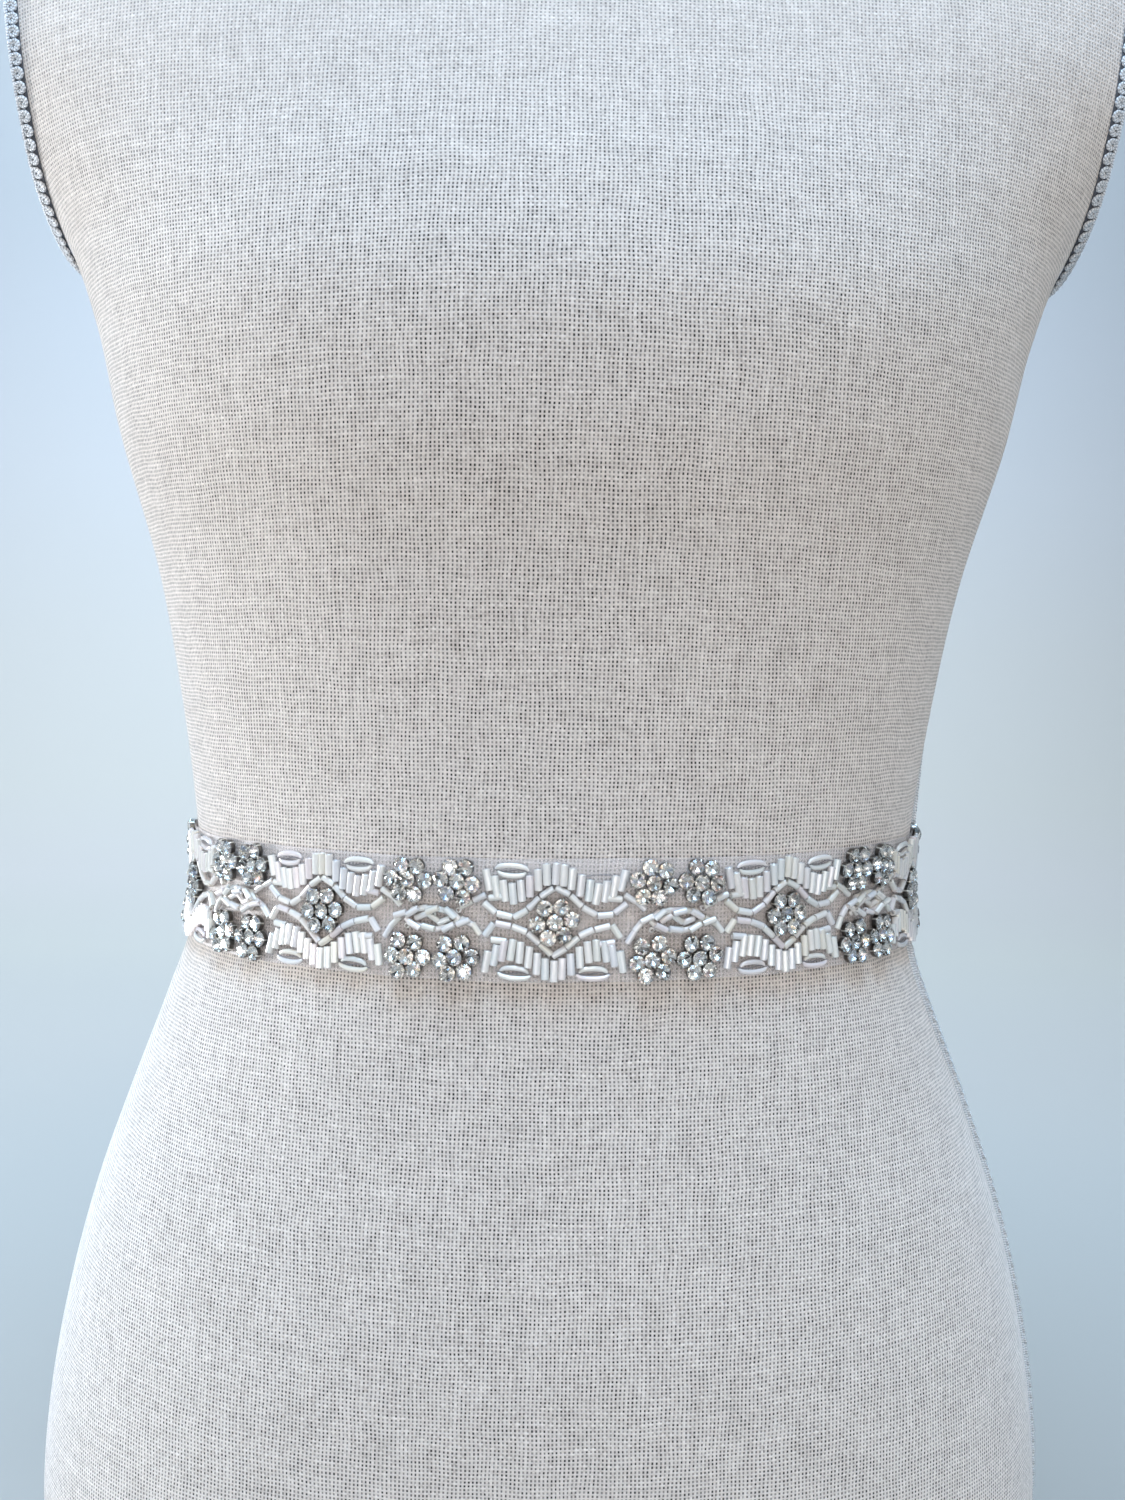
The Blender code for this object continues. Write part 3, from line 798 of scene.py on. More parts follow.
@dataclass(frozen=True)
class SheerOrganza(Finish):
    """Crisp nylon organza, a fine open plain weave of bare filament.

    It lays a frosted grey-white veil over the linen, denser at its turned edges.
    """

    name: str = "nylon_organza_sheer"
    # The real filaments lie 0.25 mm apart; 0.7 mm is the finest that shows.
    thread_spacing: float = 0.7 * MM
    light: str = "#FAF5F4"
    dark: str = "#E6DEDE"
    cover: float = 0.24
    roughness: float = 0.45

    def surface(self, tree: bpy.types.NodeTree) -> bpy.types.NodeSocket:
        """Builds the veil.

        Args:
            tree: The material's empty node tree.

        Returns:
            The shader.
        """
        uv = add_node(tree, "ShaderNodeUVMap", {"uv_map": "thread"})
        counted = add_node(tree, "ShaderNodeVectorMath", {"operation": "SCALE"},
                           {0: uv, "Scale": 2 * math.pi / self.thread_spacing})
        waves = add_node(tree, "ShaderNodeVectorMath", {"operation": "SINE"}, {0: counted})
        across = add_node(tree, "ShaderNodeSeparateXYZ", inputs={0: waves}, output=0)
        weave = add_node(tree, "ShaderNodeMath", {"operation": "MULTIPLY"},
                         {0: across, 1: across.node.outputs[1]})
        cloud = add_node(tree, "ShaderNodeTexNoise", inputs={"Vector": uv, "Scale": 180.0, "Detail": 2.0})
        mixed = add_node(tree, "ShaderNodeMath", {"operation": "MULTIPLY_ADD"}, {0: weave, 1: 0.25, 2: cloud})
        colour = add_node(tree, "ShaderNodeMix", {"data_type": "RGBA"},
                          {"Factor": mixed, 6: linear(self.dark), 7: linear(self.light)}, output=2)
        alpha = add_node(tree, "ShaderNodeMapRange",
                         inputs={0: mixed, 1: 0.1, 2: 0.9, 3: self.cover - 0.08, 4: self.cover + 0.08})
        normal = add_node(tree, "ShaderNodeBump", inputs={
            "Strength": 0.3, "Distance": 0.06 * MM, "Height": mixed}, output="Normal")
        return add_node(tree, "ShaderNodeBsdfPrincipled", inputs={
            "Base Color": colour, "Roughness": self.roughness, "IOR": 1.53, "Alpha": alpha,
            "Normal": normal, "Sheen Weight": 0.3, "Sheen Roughness": 0.3})


@dataclass(frozen=True)
class BeadGlass(Finish):
    """Drawn glass tube, cut into bugles and fumed with a thin rainbow coat.

    Each bead is a milky white with one hard bright streak, and hints of lavender, blue and pink.
    """

    name: str = "drawn_glass_fumed"
    clear: float = 0.3
    coat_shine: float = 0.05
    roughness: float = 0.1

    def surface(self, tree: bpy.types.NodeTree) -> bpy.types.NodeSocket:
        """Builds the glass.

        Args:
            tree: The material's empty node tree.

        Returns:
            The shader.
        """
        tone = add_node(tree, "ShaderNodeAttribute", {"attribute_name": "tone"}, output="Fac")
        tint = Ramp((
            (0.0, "#F6F4F6"), (0.2, "#FFF9F4"), (0.45, "#FFFDF8"), (0.62, "#FCF0F0"),
            (0.8, "#F4F6F4"), (1.0, "#FFF6E8"),
        )).add(tree, tone)
        place = add_node(tree, "ShaderNodeTexCoord", output="Object")
        drawn = add_node(tree, "ShaderNodeTexNoise", inputs={"Vector": place, "Scale": 900.0, "Detail": 1.0})
        normal = add_node(tree, "ShaderNodeBump", inputs={
            "Strength": 0.15, "Distance": 0.05 * MM, "Height": drawn}, output="Normal")
        return add_node(tree, "ShaderNodeBsdfPrincipled", inputs={
            "Base Color": tint, "Roughness": self.roughness, "IOR": 1.52, "Normal": normal,
            "Transmission Weight": self.clear, "Metallic": self.coat_shine,
            "Coat Weight": 1.0, "Coat Roughness": 0.03})


@dataclass(frozen=True)
class CrystalGlass(Finish):
    """Lead crystal, pressed and polished: perfectly clear, so that the foil below it shows."""

    name: str = "lead_crystal_polished"
    roughness: float = 0.0

    def surface(self, tree: bpy.types.NodeTree) -> bpy.types.NodeSocket:
        """Builds the crystal.

        Args:
            tree: The material's empty node tree.

        Returns:
            The shader.
        """
        tone = add_node(tree, "ShaderNodeAttribute", {"attribute_name": "tone"}, output="Fac")
        tint = Ramp(((0.0, "#F8FBFF"), (0.5, "#FEFEFF"), (1.0, "#FFFAF2"))).add(tree, tone)
        return add_node(tree, "ShaderNodeBsdfPrincipled", inputs={
            "Base Color": tint, "Roughness": self.roughness, "IOR": 1.58, "Transmission Weight": 1.0})


@dataclass(frozen=True)
class StoneFoil(Finish):
    """Silver foil, vacuum laid on the back facets of a stone.

    Seen through the crystal it is a star of bright, grey and near black facets: painted
    reflections, picked at random. The crystal splits the light, so some facets are tinted
    rose, amber or blue: painted fire.
    """

    name: str = "silver_foil_vacuum_laid"
    roughness: float = 0.2

    def surface(self, tree: bpy.types.NodeTree) -> bpy.types.NodeSocket:
        """Builds the foil.

        Args:
            tree: The material's empty node tree.

        Returns:
            The shader.
        """
        tone = add_node(tree, "ShaderNodeAttribute", {"attribute_name": "tone"}, output="Fac")
        # Painted reflections: each facet's tone picks a bright, grey or near black reflection, or painted fire.
        tint = Ramp((
            (0.0, "#4A4846"), (0.10, "#A09E9A"), (0.22, "#EEEBE5"), (0.6, "#FFFDF8"),
            (0.84, "#FBFDFF"), (0.90, "#F0D2C8"), (0.95, "#BCD2F0"), (1.0, "#EFDDBE"),
        )).add(tree, tone)
        return add_node(tree, "ShaderNodeBsdfPrincipled", inputs={
            "Base Color": tint, "Roughness": self.roughness, "Metallic": 0.75})


@dataclass(frozen=True)
class ClawMetal(Finish):
    """Brass claw cups, pressed and nickel plated: bright claws, and brown painted shade down in the gaps."""

    name: str = "brass_nickel_plated"
    light: str = "#E6E3DC"
    # Painted shade: the dark of the cups between the stones.
    dark: str = "#2C2722"
    roughness: float = 0.3

    def surface(self, tree: bpy.types.NodeTree) -> bpy.types.NodeSocket:
        """Builds the plated metal.

        Args:
            tree: The material's empty node tree.

        Returns:
            The shader.
        """
        place = add_node(tree, "ShaderNodeTexCoord", output="Object")
        wear = add_node(tree, "ShaderNodeTexNoise", inputs={"Vector": place, "Scale": 700.0, "Detail": 3.0})
        tone = add_node(tree, "ShaderNodeAttribute", {"attribute_name": "tone"}, output="Fac")
        # A tone of nought paints shade on the cups; the wear noise adds a little real wear.
        bright = add_node(tree, "ShaderNodeMath", {"operation": "MULTIPLY_ADD", "use_clamp": True},
                          {0: wear, 1: 0.35, 2: tone})
        colour = add_node(tree, "ShaderNodeMix", {"data_type": "RGBA"},
                          {"Factor": bright, 6: linear(self.dark), 7: linear(self.light)}, output=2)
        normal = add_node(tree, "ShaderNodeBump", inputs={
            "Strength": 0.2, "Distance": 0.04 * MM, "Height": wear}, output="Normal")
        return add_node(tree, "ShaderNodeBsdfPrincipled", inputs={
            "Base Color": colour, "Roughness": self.roughness, "Metallic": 1.0, "Normal": normal})


@dataclass(frozen=True)
class DuchessSatin(Finish):
    """Duchess satin, woven with long floats of bright yarn: smooth, ivory and softly shining."""

    name: str = "duchess_satin_woven"
    # The real floats are 0.15 mm apart; 0.6 mm is the finest that shows.
    float_spacing: float = 0.6 * MM
    light: str = "#F0EBDF"
    dark: str = "#D8D0C0"
    roughness: float = 0.34

    def surface(self, tree: bpy.types.NodeTree) -> bpy.types.NodeSocket:
        """Builds the satin.

        Args:
            tree: The material's empty node tree.

        Returns:
            The shader.
        """
        uv = add_node(tree, "ShaderNodeUVMap", {"uv_map": "thread"})
        stretched = add_node(tree, "ShaderNodeVectorMath", {"operation": "MULTIPLY"},
                             {0: uv, 1: (120.0, 1 / self.float_spacing, 1.0)})
        floats = add_node(tree, "ShaderNodeTexNoise", inputs={"Vector": stretched, "Scale": 1.0, "Detail": 1.0})
        colour = add_node(tree, "ShaderNodeMix", {"data_type": "RGBA"},
                          {"Factor": floats, 6: linear(self.dark), 7: linear(self.light)}, output=2)
        normal = add_node(tree, "ShaderNodeBump", inputs={
            "Strength": 0.3, "Distance": 0.06 * MM, "Height": floats}, output="Normal")
        return add_node(tree, "ShaderNodeBsdfPrincipled", inputs={
            "Base Color": colour, "Roughness": self.roughness, "IOR": 1.5, "Normal": normal,
            "Sheen Weight": 0.35, "Sheen Roughness": 0.25})


@dataclass(frozen=True)
class TurnedBeech(Finish):
    """Beech, turned on a lathe and varnished: a warm brown with short flecks and a soft gloss."""

    name: str = "beech_turned_varnished"
    grain_width: float = 1.6 * MM
    light: str = "#B98A5A"
    dark: str = "#8A5E36"
    roughness: float = 0.38

    def surface(self, tree: bpy.types.NodeTree) -> bpy.types.NodeSocket:
        """Builds the wood.

        Args:
            tree: The material's empty node tree.

        Returns:
            The shader.
        """
        place = add_node(tree, "ShaderNodeTexCoord", output="Object")
        drawn = add_node(tree, "ShaderNodeVectorMath", {"operation": "MULTIPLY"},
                         {0: place, 1: (0.12, 1.0, 1.0)})
        grain = add_node(tree, "ShaderNodeTexNoise",
                         inputs={"Vector": drawn, "Scale": 1 / self.grain_width, "Detail": 4.0, "Distortion": 0.4})
        fleck = add_node(tree, "ShaderNodeTexVoronoi", inputs={"Vector": drawn, "Scale": 0.4 / MM})
        marks = add_node(tree, "ShaderNodeMath", {"operation": "MULTIPLY_ADD"}, {0: fleck, 1: 0.25, 2: grain})
        colour = Ramp(((0.35, self.dark), (0.75, self.light))).add(tree, marks)
        normal = add_node(tree, "ShaderNodeBump", inputs={
            "Strength": 0.15, "Distance": 0.1 * MM, "Height": marks}, output="Normal")
        return add_node(tree, "ShaderNodeBsdfPrincipled", inputs={
            "Base Color": colour, "Roughness": self.roughness, "IOR": 1.5, "Normal": normal,
            "Coat Weight": 0.4, "Coat Roughness": 0.15})


@dataclass(frozen=True)
class StudioPaper(Finish):
    """Matt background paper with painted light and shade: an even change from pale above to greyer below."""

    name: str = "background_paper_matt"
    # Painted shade and light: how far up the paper each colour is, nought on the floor under
    # the form, 0.9 high on the wall.
    painted_shade_grade: tuple[tuple[float, str], ...] = (
        (0.02, "#A9A49E"), (0.06, "#AFA8A1"), (0.10, "#B9AEA5"), (0.14, "#C1B5A9"), (0.20, "#C7B9AF"),
        (0.28, "#CABDB1"), (0.42, "#CDC1B7"), (0.60, "#CFC6C1"), (0.75, "#CDC7C5"), (0.90, "#C9C6C5"),
    )

    def surface(self, tree: bpy.types.NodeTree) -> bpy.types.NodeSocket:
        """Builds the paper.

        Args:
            tree: The material's empty node tree.

        Returns:
            The shader.
        """
        place = add_node(tree, "ShaderNodeTexCoord", output="Object")
        across = add_node(tree, "ShaderNodeSeparateXYZ", inputs={0: place}, output=0)
        away = add_node(tree, "ShaderNodeMath", {"operation": "ABSOLUTE"}, {0: across.node.outputs[1]})
        back = add_node(tree, "ShaderNodeMath", {"operation": "MULTIPLY"}, {0: away, 1: 0.1})
        # Painted shade: the paper is greyer near the form and paler away from it.
        rise = add_node(tree, "ShaderNodeMath", {"operation": "MULTIPLY_ADD"},
                        {0: across.node.outputs[2], 1: 0.5, 2: back})
        even = add_node(tree, "ShaderNodeTexNoise", inputs={"Vector": place, "Scale": 1.5, "Detail": 1.0})
        mixed = add_node(tree, "ShaderNodeMath", {"operation": "MULTIPLY_ADD"}, {0: even, 1: 0.04, 2: rise})
        colour = Ramp(self.painted_shade_grade).add(tree, mixed)
        # Painted shade: the paper darkens towards +X, away from the light at the left.
        side = add_node(tree, "ShaderNodeMapRange", inputs={0: across, 1: -1.2, 2: 1.2, 3: 1.0, 4: 0.73})
        graded = add_node(tree, "ShaderNodeVectorMath", {"operation": "SCALE"}, {0: colour, "Scale": side})
        return add_node(tree, "ShaderNodeBsdfPrincipled", inputs={
            "Base Color": graded, "Roughness": 0.95, "IOR": 1.45, "Specular IOR Level": 0.2})


@dataclass
class DressForm:
    """The limbless torso: its linen cover, arm plates and turned neck cap."""

    form: FormShape
    columns: int = 224
    ring_spacing: float = 4.0 * MM
    underside_round: float = 3.0 * MM
    lowest_ring: float = 4.0 * MM
    plate_height: float = 537 * MM
    plate_middle: float = 8 * MM
    plate_half_width: float = 41 * MM
    plate_half_height: float = 53 * MM
    plate_thickness: float = 4 * MM
    cap_thickness: float = 12 * MM
    cap_inset: float = 1.5 * MM
    seam_gap: float = 0.3 * MM

    def cover_heights(self) -> np.ndarray:
        """The heights of the cover's rings, closer together over the shoulders."""
        lower = np.arange(self.lowest_ring, 0.470, self.ring_spacing)
        upper = np.arange(0.472, FORM_TOP, self.ring_spacing * 0.6)
        return np.concatenate([lower, upper, [FORM_TOP]])

    def build_cover(self) -> bpy.types.Object:
        """The linen cover, cut flat at the armholes and underneath.

        Returns:
            The cover, which replaces the torso's solid.
        """
        angles = np.linspace(0, 2 * math.pi, self.columns, endpoint=False)
        rows = [self.form.points(angles, self.lowest_ring, -self.underside_round)]
        rows[0][:, 2] = 0.0
        middle = self.form.points(angles, self.lowest_ring, -0.3 * self.underside_round)
        middle[:, 2] = 0.3 * self.lowest_ring
        rows.append(middle)
        rows += [self.form.points(angles, height) for height in self.cover_heights()]
        shape = bmesh.new()
        rings = [[shape.verts.new(point) for point in row] for row in rows]
        for here, there in zip(rings, rings[1:]):
            for i in range(self.columns):
                j = (i + 1) % self.columns
                shape.faces.new((here[i], here[j], there[j], there[i]))
        shape.faces.new(rings[0])
        shape.faces.new(rings[-1])
        for side in (-1, 1):
            self.cut_armhole(shape, side)
        bmesh.ops.recalc_face_normals(shape, faces=shape.faces)
        self.lay_linen(shape)
        mesh = bpy.data.meshes.new("linen_cover")
        shape.to_mesh(mesh)
        shape.free()
        piece = PieceMesh("linen_cover", [WovenLinen().material()]).dress(mesh, 50.0)
        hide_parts("form_body")
        return piece

    def cut_armhole(self, shape: bmesh.types.BMesh, side: int) -> None:
        """Cuts the shoulder off flat and closes the cut.

        Args:
            shape: The cover.
            side: 1 towards +X, -1 towards -X.
        """
        upper = [face for face in shape.faces if face.calc_center_median().z > ARM_FLAT_FROM]
        edges = {edge for face in upper for edge in face.edges}
        verts = {vert for face in upper for vert in face.verts}
        cut = bmesh.ops.bisect_plane(
            shape, geom=list(verts) + list(edges) + upper, dist=0.01 * MM,
            plane_co=(side * ARM_FLAT_LOW[0], 0, ARM_FLAT_LOW[1]),
            plane_no=self.armhole_outward(side), clear_outer=True,
        )["geom_cut"]
        rim = [item for item in cut if isinstance(item, bmesh.types.BMEdge)]
        bmesh.ops.contextual_create(shape, geom=rim)

    def armhole_outward(self, side: int) -> Vector:
        """The direction that the flat of an armhole faces."""
        tilt = math.atan(ARM_FLAT_SLOPE)
        return Vector((side * math.cos(tilt), 0, -math.sin(tilt)))

    def lay_linen(self, shape: bmesh.types.BMesh) -> None:
        """Measures the cloth flat from the middle of the front and of the back.

        Args:
            shape: The cover, which gets its flat places in metres.
        """
        layer = shape.loops.layers.uv.new("thread")
        shape.faces.ensure_lookup_table()
        corners = np.array([loop.vert.co for face in shape.faces for loop in face.loops])
        centres = np.array([face.calc_center_median() for face in shape.faces])
        sizes = [len(face.loops) for face in shape.faces]
        turn = self.form.angle_of(corners)
        across = self.form.measured(self.form.girth, turn, corners[:, 2])
        whole = self.form.measured(self.form.girth, np.full(len(corners), math.pi), corners[:, 2])
        up = self.form.measured(self.form.rise, turn, corners[:, 2])
        face_turn = np.repeat(self.form.angle_of(centres), sizes)
        front = np.abs(face_turn) < math.pi / 2
        measured = np.where(front, across, whole - across)
        same_side = np.sign(turn) == np.sign(face_turn)
        sign = np.sign(face_turn) * np.where(same_side, 1, -1)
        flat = np.where(np.repeat(sizes, sizes) > 4, corners[:, 1], measured * sign)
        i = 0
        for face in shape.faces:
            for loop in face.loops:
                loop[layer].uv = (flat[i], up[i])
                i += 1

    def build_arm_plate(self, node: str, side: int) -> bpy.types.Object:
        """An oval board covered in linen, with a piped rim.

        Args:
            node: The solid that it replaces.
            side: 1 towards +X, -1 towards -X.

        Returns:
            The plate.
        """
        rim = 1.1 * MM / self.plate_half_width
        thick = self.plate_thickness
        rings = [(0.0, 0.0), (1 - 1.4 * rim, 0.0)]
        for turn in np.linspace(-0.5, 0.5, 7) * math.pi:
            rings.append((1 - rim + rim * math.cos(turn), thick * (0.36 + 0.36 * math.sin(turn))))
        rings += [(1 - 2.1 * rim, 0.66 * thick), (1 - 2.8 * rim, 0.74 * thick)]
        rings += [(share, thick * (1.0 - 0.2 * share ** 2)) for share in (0.85, 0.6, 0.3)]
        rings.append((0.0, thick))
        plate = turned(rings, 96)
        size = np.array([self.plate_half_height, self.plate_half_width, 1.0])
        flat = plate.points * size
        plate.places = [[(flat[i, 0], flat[i, 1]) for i in face] for face in plate.faces]
        outward = self.armhole_outward(side)
        x = ARM_FLAT_LOW[0] + (self.plate_height - ARM_FLAT_LOW[1]) * ARM_FLAT_SLOPE
        seat = Vector((side * x, self.plate_middle, self.plate_height)) + outward * self.seam_gap
        axes = np.array(outward.to_track_quat("Z", "X").to_matrix().transposed())
        mesh = PieceMesh(f"{node}_linen", [WovenLinen(
            name="board_linen_plain_woven", thread_spacing=1.0 * MM, light="#C7BFB5", dark="#A79D91",
        ).material()])
        mesh.add_at(Shape(flat, plate.faces, plate.slots, plate.places), np.array(seat), axes)
        piece = mesh.build()
        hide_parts(node)
        return piece

    def build_neck_cap(self) -> bpy.types.Object:
        """A turned cap with a cove and a bead round it.

        Returns:
            The cap, which replaces its solid.
        """
        half_width, _, front, back, _ = self.form.sections_at(np.array(FORM_TOP))
        radius = float(half_width) - self.cap_inset
        depth = float(back - front) / 2 - self.cap_inset
        profile = [(0.0, 0.0), (radius - 1.0 * MM, 0.0), (radius, 1.0 * MM), (radius, 3.2 * MM)]
        for turn in np.linspace(0, math.pi, 9):
            profile.append((radius - 1.3 * MM * math.sin(turn), 4.5 * MM - 1.3 * MM * math.cos(turn)))
        for turn in np.linspace(0, math.pi / 2, 9):
            profile.append((
                radius - 6.2 * MM * (1 - math.cos(turn)), 5.8 * MM + 5.4 * MM * math.sin(turn)))
        profile += [(radius * share, (12.0 - 0.8 * share ** 2) * MM) for share in (0.75, 0.5, 0.25)]
        profile.append((0.0, 12.0 * MM))
        cap = turned(profile, 96)
        cap.points[:, 1] *= depth / radius
        mesh = PieceMesh("neck_cap_turned", [TurnedBeech().material()])
        mesh.add_at(cap, np.array((0, float(front + back) / 2, FORM_TOP + self.seam_gap)), np.eye(3))
        piece = mesh.build()
        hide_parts("neck_cap")
        return piece

    def build(self) -> list[bpy.types.Object]:
        """Builds the cover, the two plates and the cap."""
        return [
            self.build_cover(),
            self.build_arm_plate("arm_plate_right", 1),
            self.build_arm_plate("arm_plate_left", -1),
            self.build_neck_cap(),
        ]


@dataclass
class ScrollBraid:
    """Gimp braid: a row of cord scrolls on a tape dark with painted shade, round the armholes and down the sides."""

    form: FormShape
    pitch: float = 4.1 * MM
    scroll_radius: float = 1.75 * MM
    cord_radius: float = 0.55 * MM
    shade_tape_half_width: float = 1.75 * MM
    shade_tape_lift: float = 0.35 * MM
    rim_inset: float = 2.0 * MM
    rim_tilt: float = 24.0
    edge_cord_radius: float = 0.6 * MM
    scroll_steps: int = 18
    scroll_sides: int = 6
    sash_clearance: float = 19.0 * MM

    def scroll(self) -> Shape:
        """One scroll: a cord that leaves the row's edge, goes round and curls into its middle."""
        turn = np.linspace(-0.55, 3.05, self.scroll_steps) * math.pi
        share = np.clip((turn + 0.1 * math.pi) / (3.0 * math.pi), 0, 1)
        radius = self.scroll_radius * (1 - 0.72 * share)
        path = np.stack([radius * np.cos(turn), radius * np.sin(turn), np.full_like(turn, self.cord_radius)], axis=1)
        path[:, 2] += 0.35 * MM * np.clip(1 - share * 4, 0, 1)
        lead = np.array([[-self.pitch, -self.scroll_radius * 0.55, self.cord_radius * 0.7],
                         [-0.5 * self.pitch, -self.scroll_radius * 1.12, self.cord_radius]])
        path = np.concatenate([lead, path[1:]])
        return tube(path, np.array([0.0, 0.0, 1.0]), self.cord_radius, self.scroll_sides)

    def armhole_line(self, side: int) -> tuple[np.ndarray, np.ndarray]:
        """The line that the braid follows, just inside the rim of an armhole.

        Args:
            side: 1 towards +X, -1 towards -X.

        Returns:
            Points round the rim, and the direction out of the form at each.
        """
        heights = np.linspace(0.460, 0.620, 3201)
        half_width, side_line, front, back, power = self.form.sections_at(heights)
        flat = ARM_FLAT_LOW[0] + (heights - ARM_FLAT_LOW[1]) * ARM_FLAT_SLOPE
        inside = flat < half_width
        share = (1 - (flat / half_width)[inside] ** power[inside]) ** (1 / power[inside])
        ahead = side_line[inside] - (side_line - front)[inside] * share
        behind = side_line[inside] + (back - side_line)[inside] * share
        x, z = side * flat[inside], heights[inside]
        rim = np.concatenate([
            np.stack([x, ahead, z], axis=1), np.stack([x, behind, z], axis=1)[::-1],
        ])
        out = self.form.normals(self.form.angle_of(rim), rim[:, 2])
        tilt = math.atan(ARM_FLAT_SLOPE)
        plane = np.array([side * math.cos(tilt), 0, -math.sin(tilt)])
        edgeward = unit(plane - out * (out @ plane)[:, None])
        line = rim - edgeward * self.rim_inset
        turn = self.form.angle_of(line)
        tilt = math.radians(self.rim_tilt)
        line = self.form.points(turn, line[:, 2]) + out * self.shade_tape_half_width * math.sin(tilt)
        return line, out * math.cos(tilt) - edgeward * math.sin(tilt)

    def seam_line(self, side: int, low: float, high: float) -> tuple[np.ndarray, np.ndarray]:
        """A side seam between two heights.

        Args:
            side: 1 towards +X, -1 towards -X.
            low: Where it starts.
            high: Where it ends.

        Returns:
            Points down the seam, and the direction out of the form at each.
        """
        heights = np.linspace(low, high, 400)
        # The photo shows the right seam ahead of the widest line at the waist. The left is hidden.
        knots = np.array([0.0, 0.10, 0.20, 0.25, 0.30, 0.40, 0.475])
        ahead = np.array([-6.0, -12.0, -22.0, -29.0, -8.0, 10.0, 7.0]) * MM
        if side < 0:
            ahead = np.array([24.0, 24.0, 20.0, 16.0, 14.0, 14.0, 7.0]) * MM
        y = smooth_values(heights, knots, ahead)
        half_width, side_line, front, back, power = self.form.sections_at(heights)
        depth = np.where(y < side_line, side_line - front, back - side_line)
        x = side * half_width * (1 - np.abs((y - side_line) / depth) ** power) ** (1 / power)
        line = np.stack([x, y, heights], axis=1)
        turn = self.form.angle_of(line)
        return self.form.points(turn, heights), self.form.normals(turn, heights)

    def lay(self, mesh: PieceMesh, line: np.ndarray, out: np.ndarray, round_trip: bool, hand: int) -> None:
        """Lays a braid along a line.

        Args:
            mesh: The piece it goes into.
            line: The points it follows.
            out: The direction out of the form at each point.
            round_trip: Whether the line comes back to its start.
            hand: 1 or -1, the side that the scrolls curl to.
        """
        total = float(lengths_along(line)[-1])
        if round_trip:
            line, out = np.vstack([line, line[:1]]), np.vstack([out, out[:1]])
            total = float(lengths_along(line)[-1])
        count = max(2, round(total / self.pitch))
        even = spaced_evenly(np.hstack([line, out * 1e-6]), 2 * count + 1)
        points, outward = even[:, :3], unit(even[:, 3:])
        # The tape's dark is painted shade between the scrolls.
        mesh.add(self.tape(points, outward))
        ahead = unit(np.gradient(points, axis=0))
        edge = unit(np.cross(ahead, outward)) * hand * (self.scroll_radius + self.cord_radius)
        cord = tube(points + edge + outward * 0.1 * MM, outward, self.edge_cord_radius, 8)
        mesh.add(Shape(cord.points, cord.faces, [1] * len(cord.faces), cord.places))
        scroll = self.scroll()
        for i in range(1, 2 * count, 2):
            across = unit(np.cross(outward[i], ahead[i])) * hand
            up = np.cross(ahead[i], across) * hand
            mesh.add_at(
                Shape(scroll.points, scroll.faces, [1] * len(scroll.faces), scroll.places),
                points[i] + outward[i] * self.shade_tape_lift, np.stack([ahead[i], across, up]),
            )

    def tape(self, points: np.ndarray, outward: np.ndarray) -> Shape:
        """The thin tape that the scrolls are sewn to, dark with painted shade between them."""
        middle = points + outward * self.shade_tape_lift * 0.5
        return tube(middle, outward, self.shade_tape_half_width, 8, flat=0.16)

    def build_armhole(self, side: int, name: str) -> bpy.types.Object:
        """The braid round one armhole.

        Args:
            side: 1 towards +X, -1 towards -X.
            name: The piece's name.

        Returns:
            The braid.
        """
        mesh = PieceMesh(name, [DullThread().material(), GimpCord().material()])
        rim, out = self.armhole_line(side)
        self.lay(mesh, rim, out, True, side)
        return mesh.build(60.0)

    def build_seam(self, side: int, name: str) -> bpy.types.Object:
        """The braid down one side seam, which stops above and below the sash.

        Args:
            side: 1 towards +X, -1 towards -X.
            name: The piece's name.

        Returns:
            The braid.
        """
        mesh = PieceMesh(name, [DullThread().material(), GimpCord().material()])
        level = SASH_LEVEL + SASH_TILT * side * 0.12
        for low, high in ((4 * MM, level - self.sash_clearance), (level + self.sash_clearance, 0.4715)):
            line, out = self.seam_line(side, low, high)
            self.lay(mesh, line[::-1], out[::-1], False, side)
        return mesh.build(60.0)

    def build(self) -> list[bpy.types.Object]:
        """Builds the braid of both armholes and both side seams."""
        return [
            self.build_armhole(1, "armhole_braid_right"),
            self.build_armhole(-1, "armhole_braid_left"),
            self.build_seam(1, "side_braid_right"),
            self.build_seam(-1, "side_braid_left"),
        ]


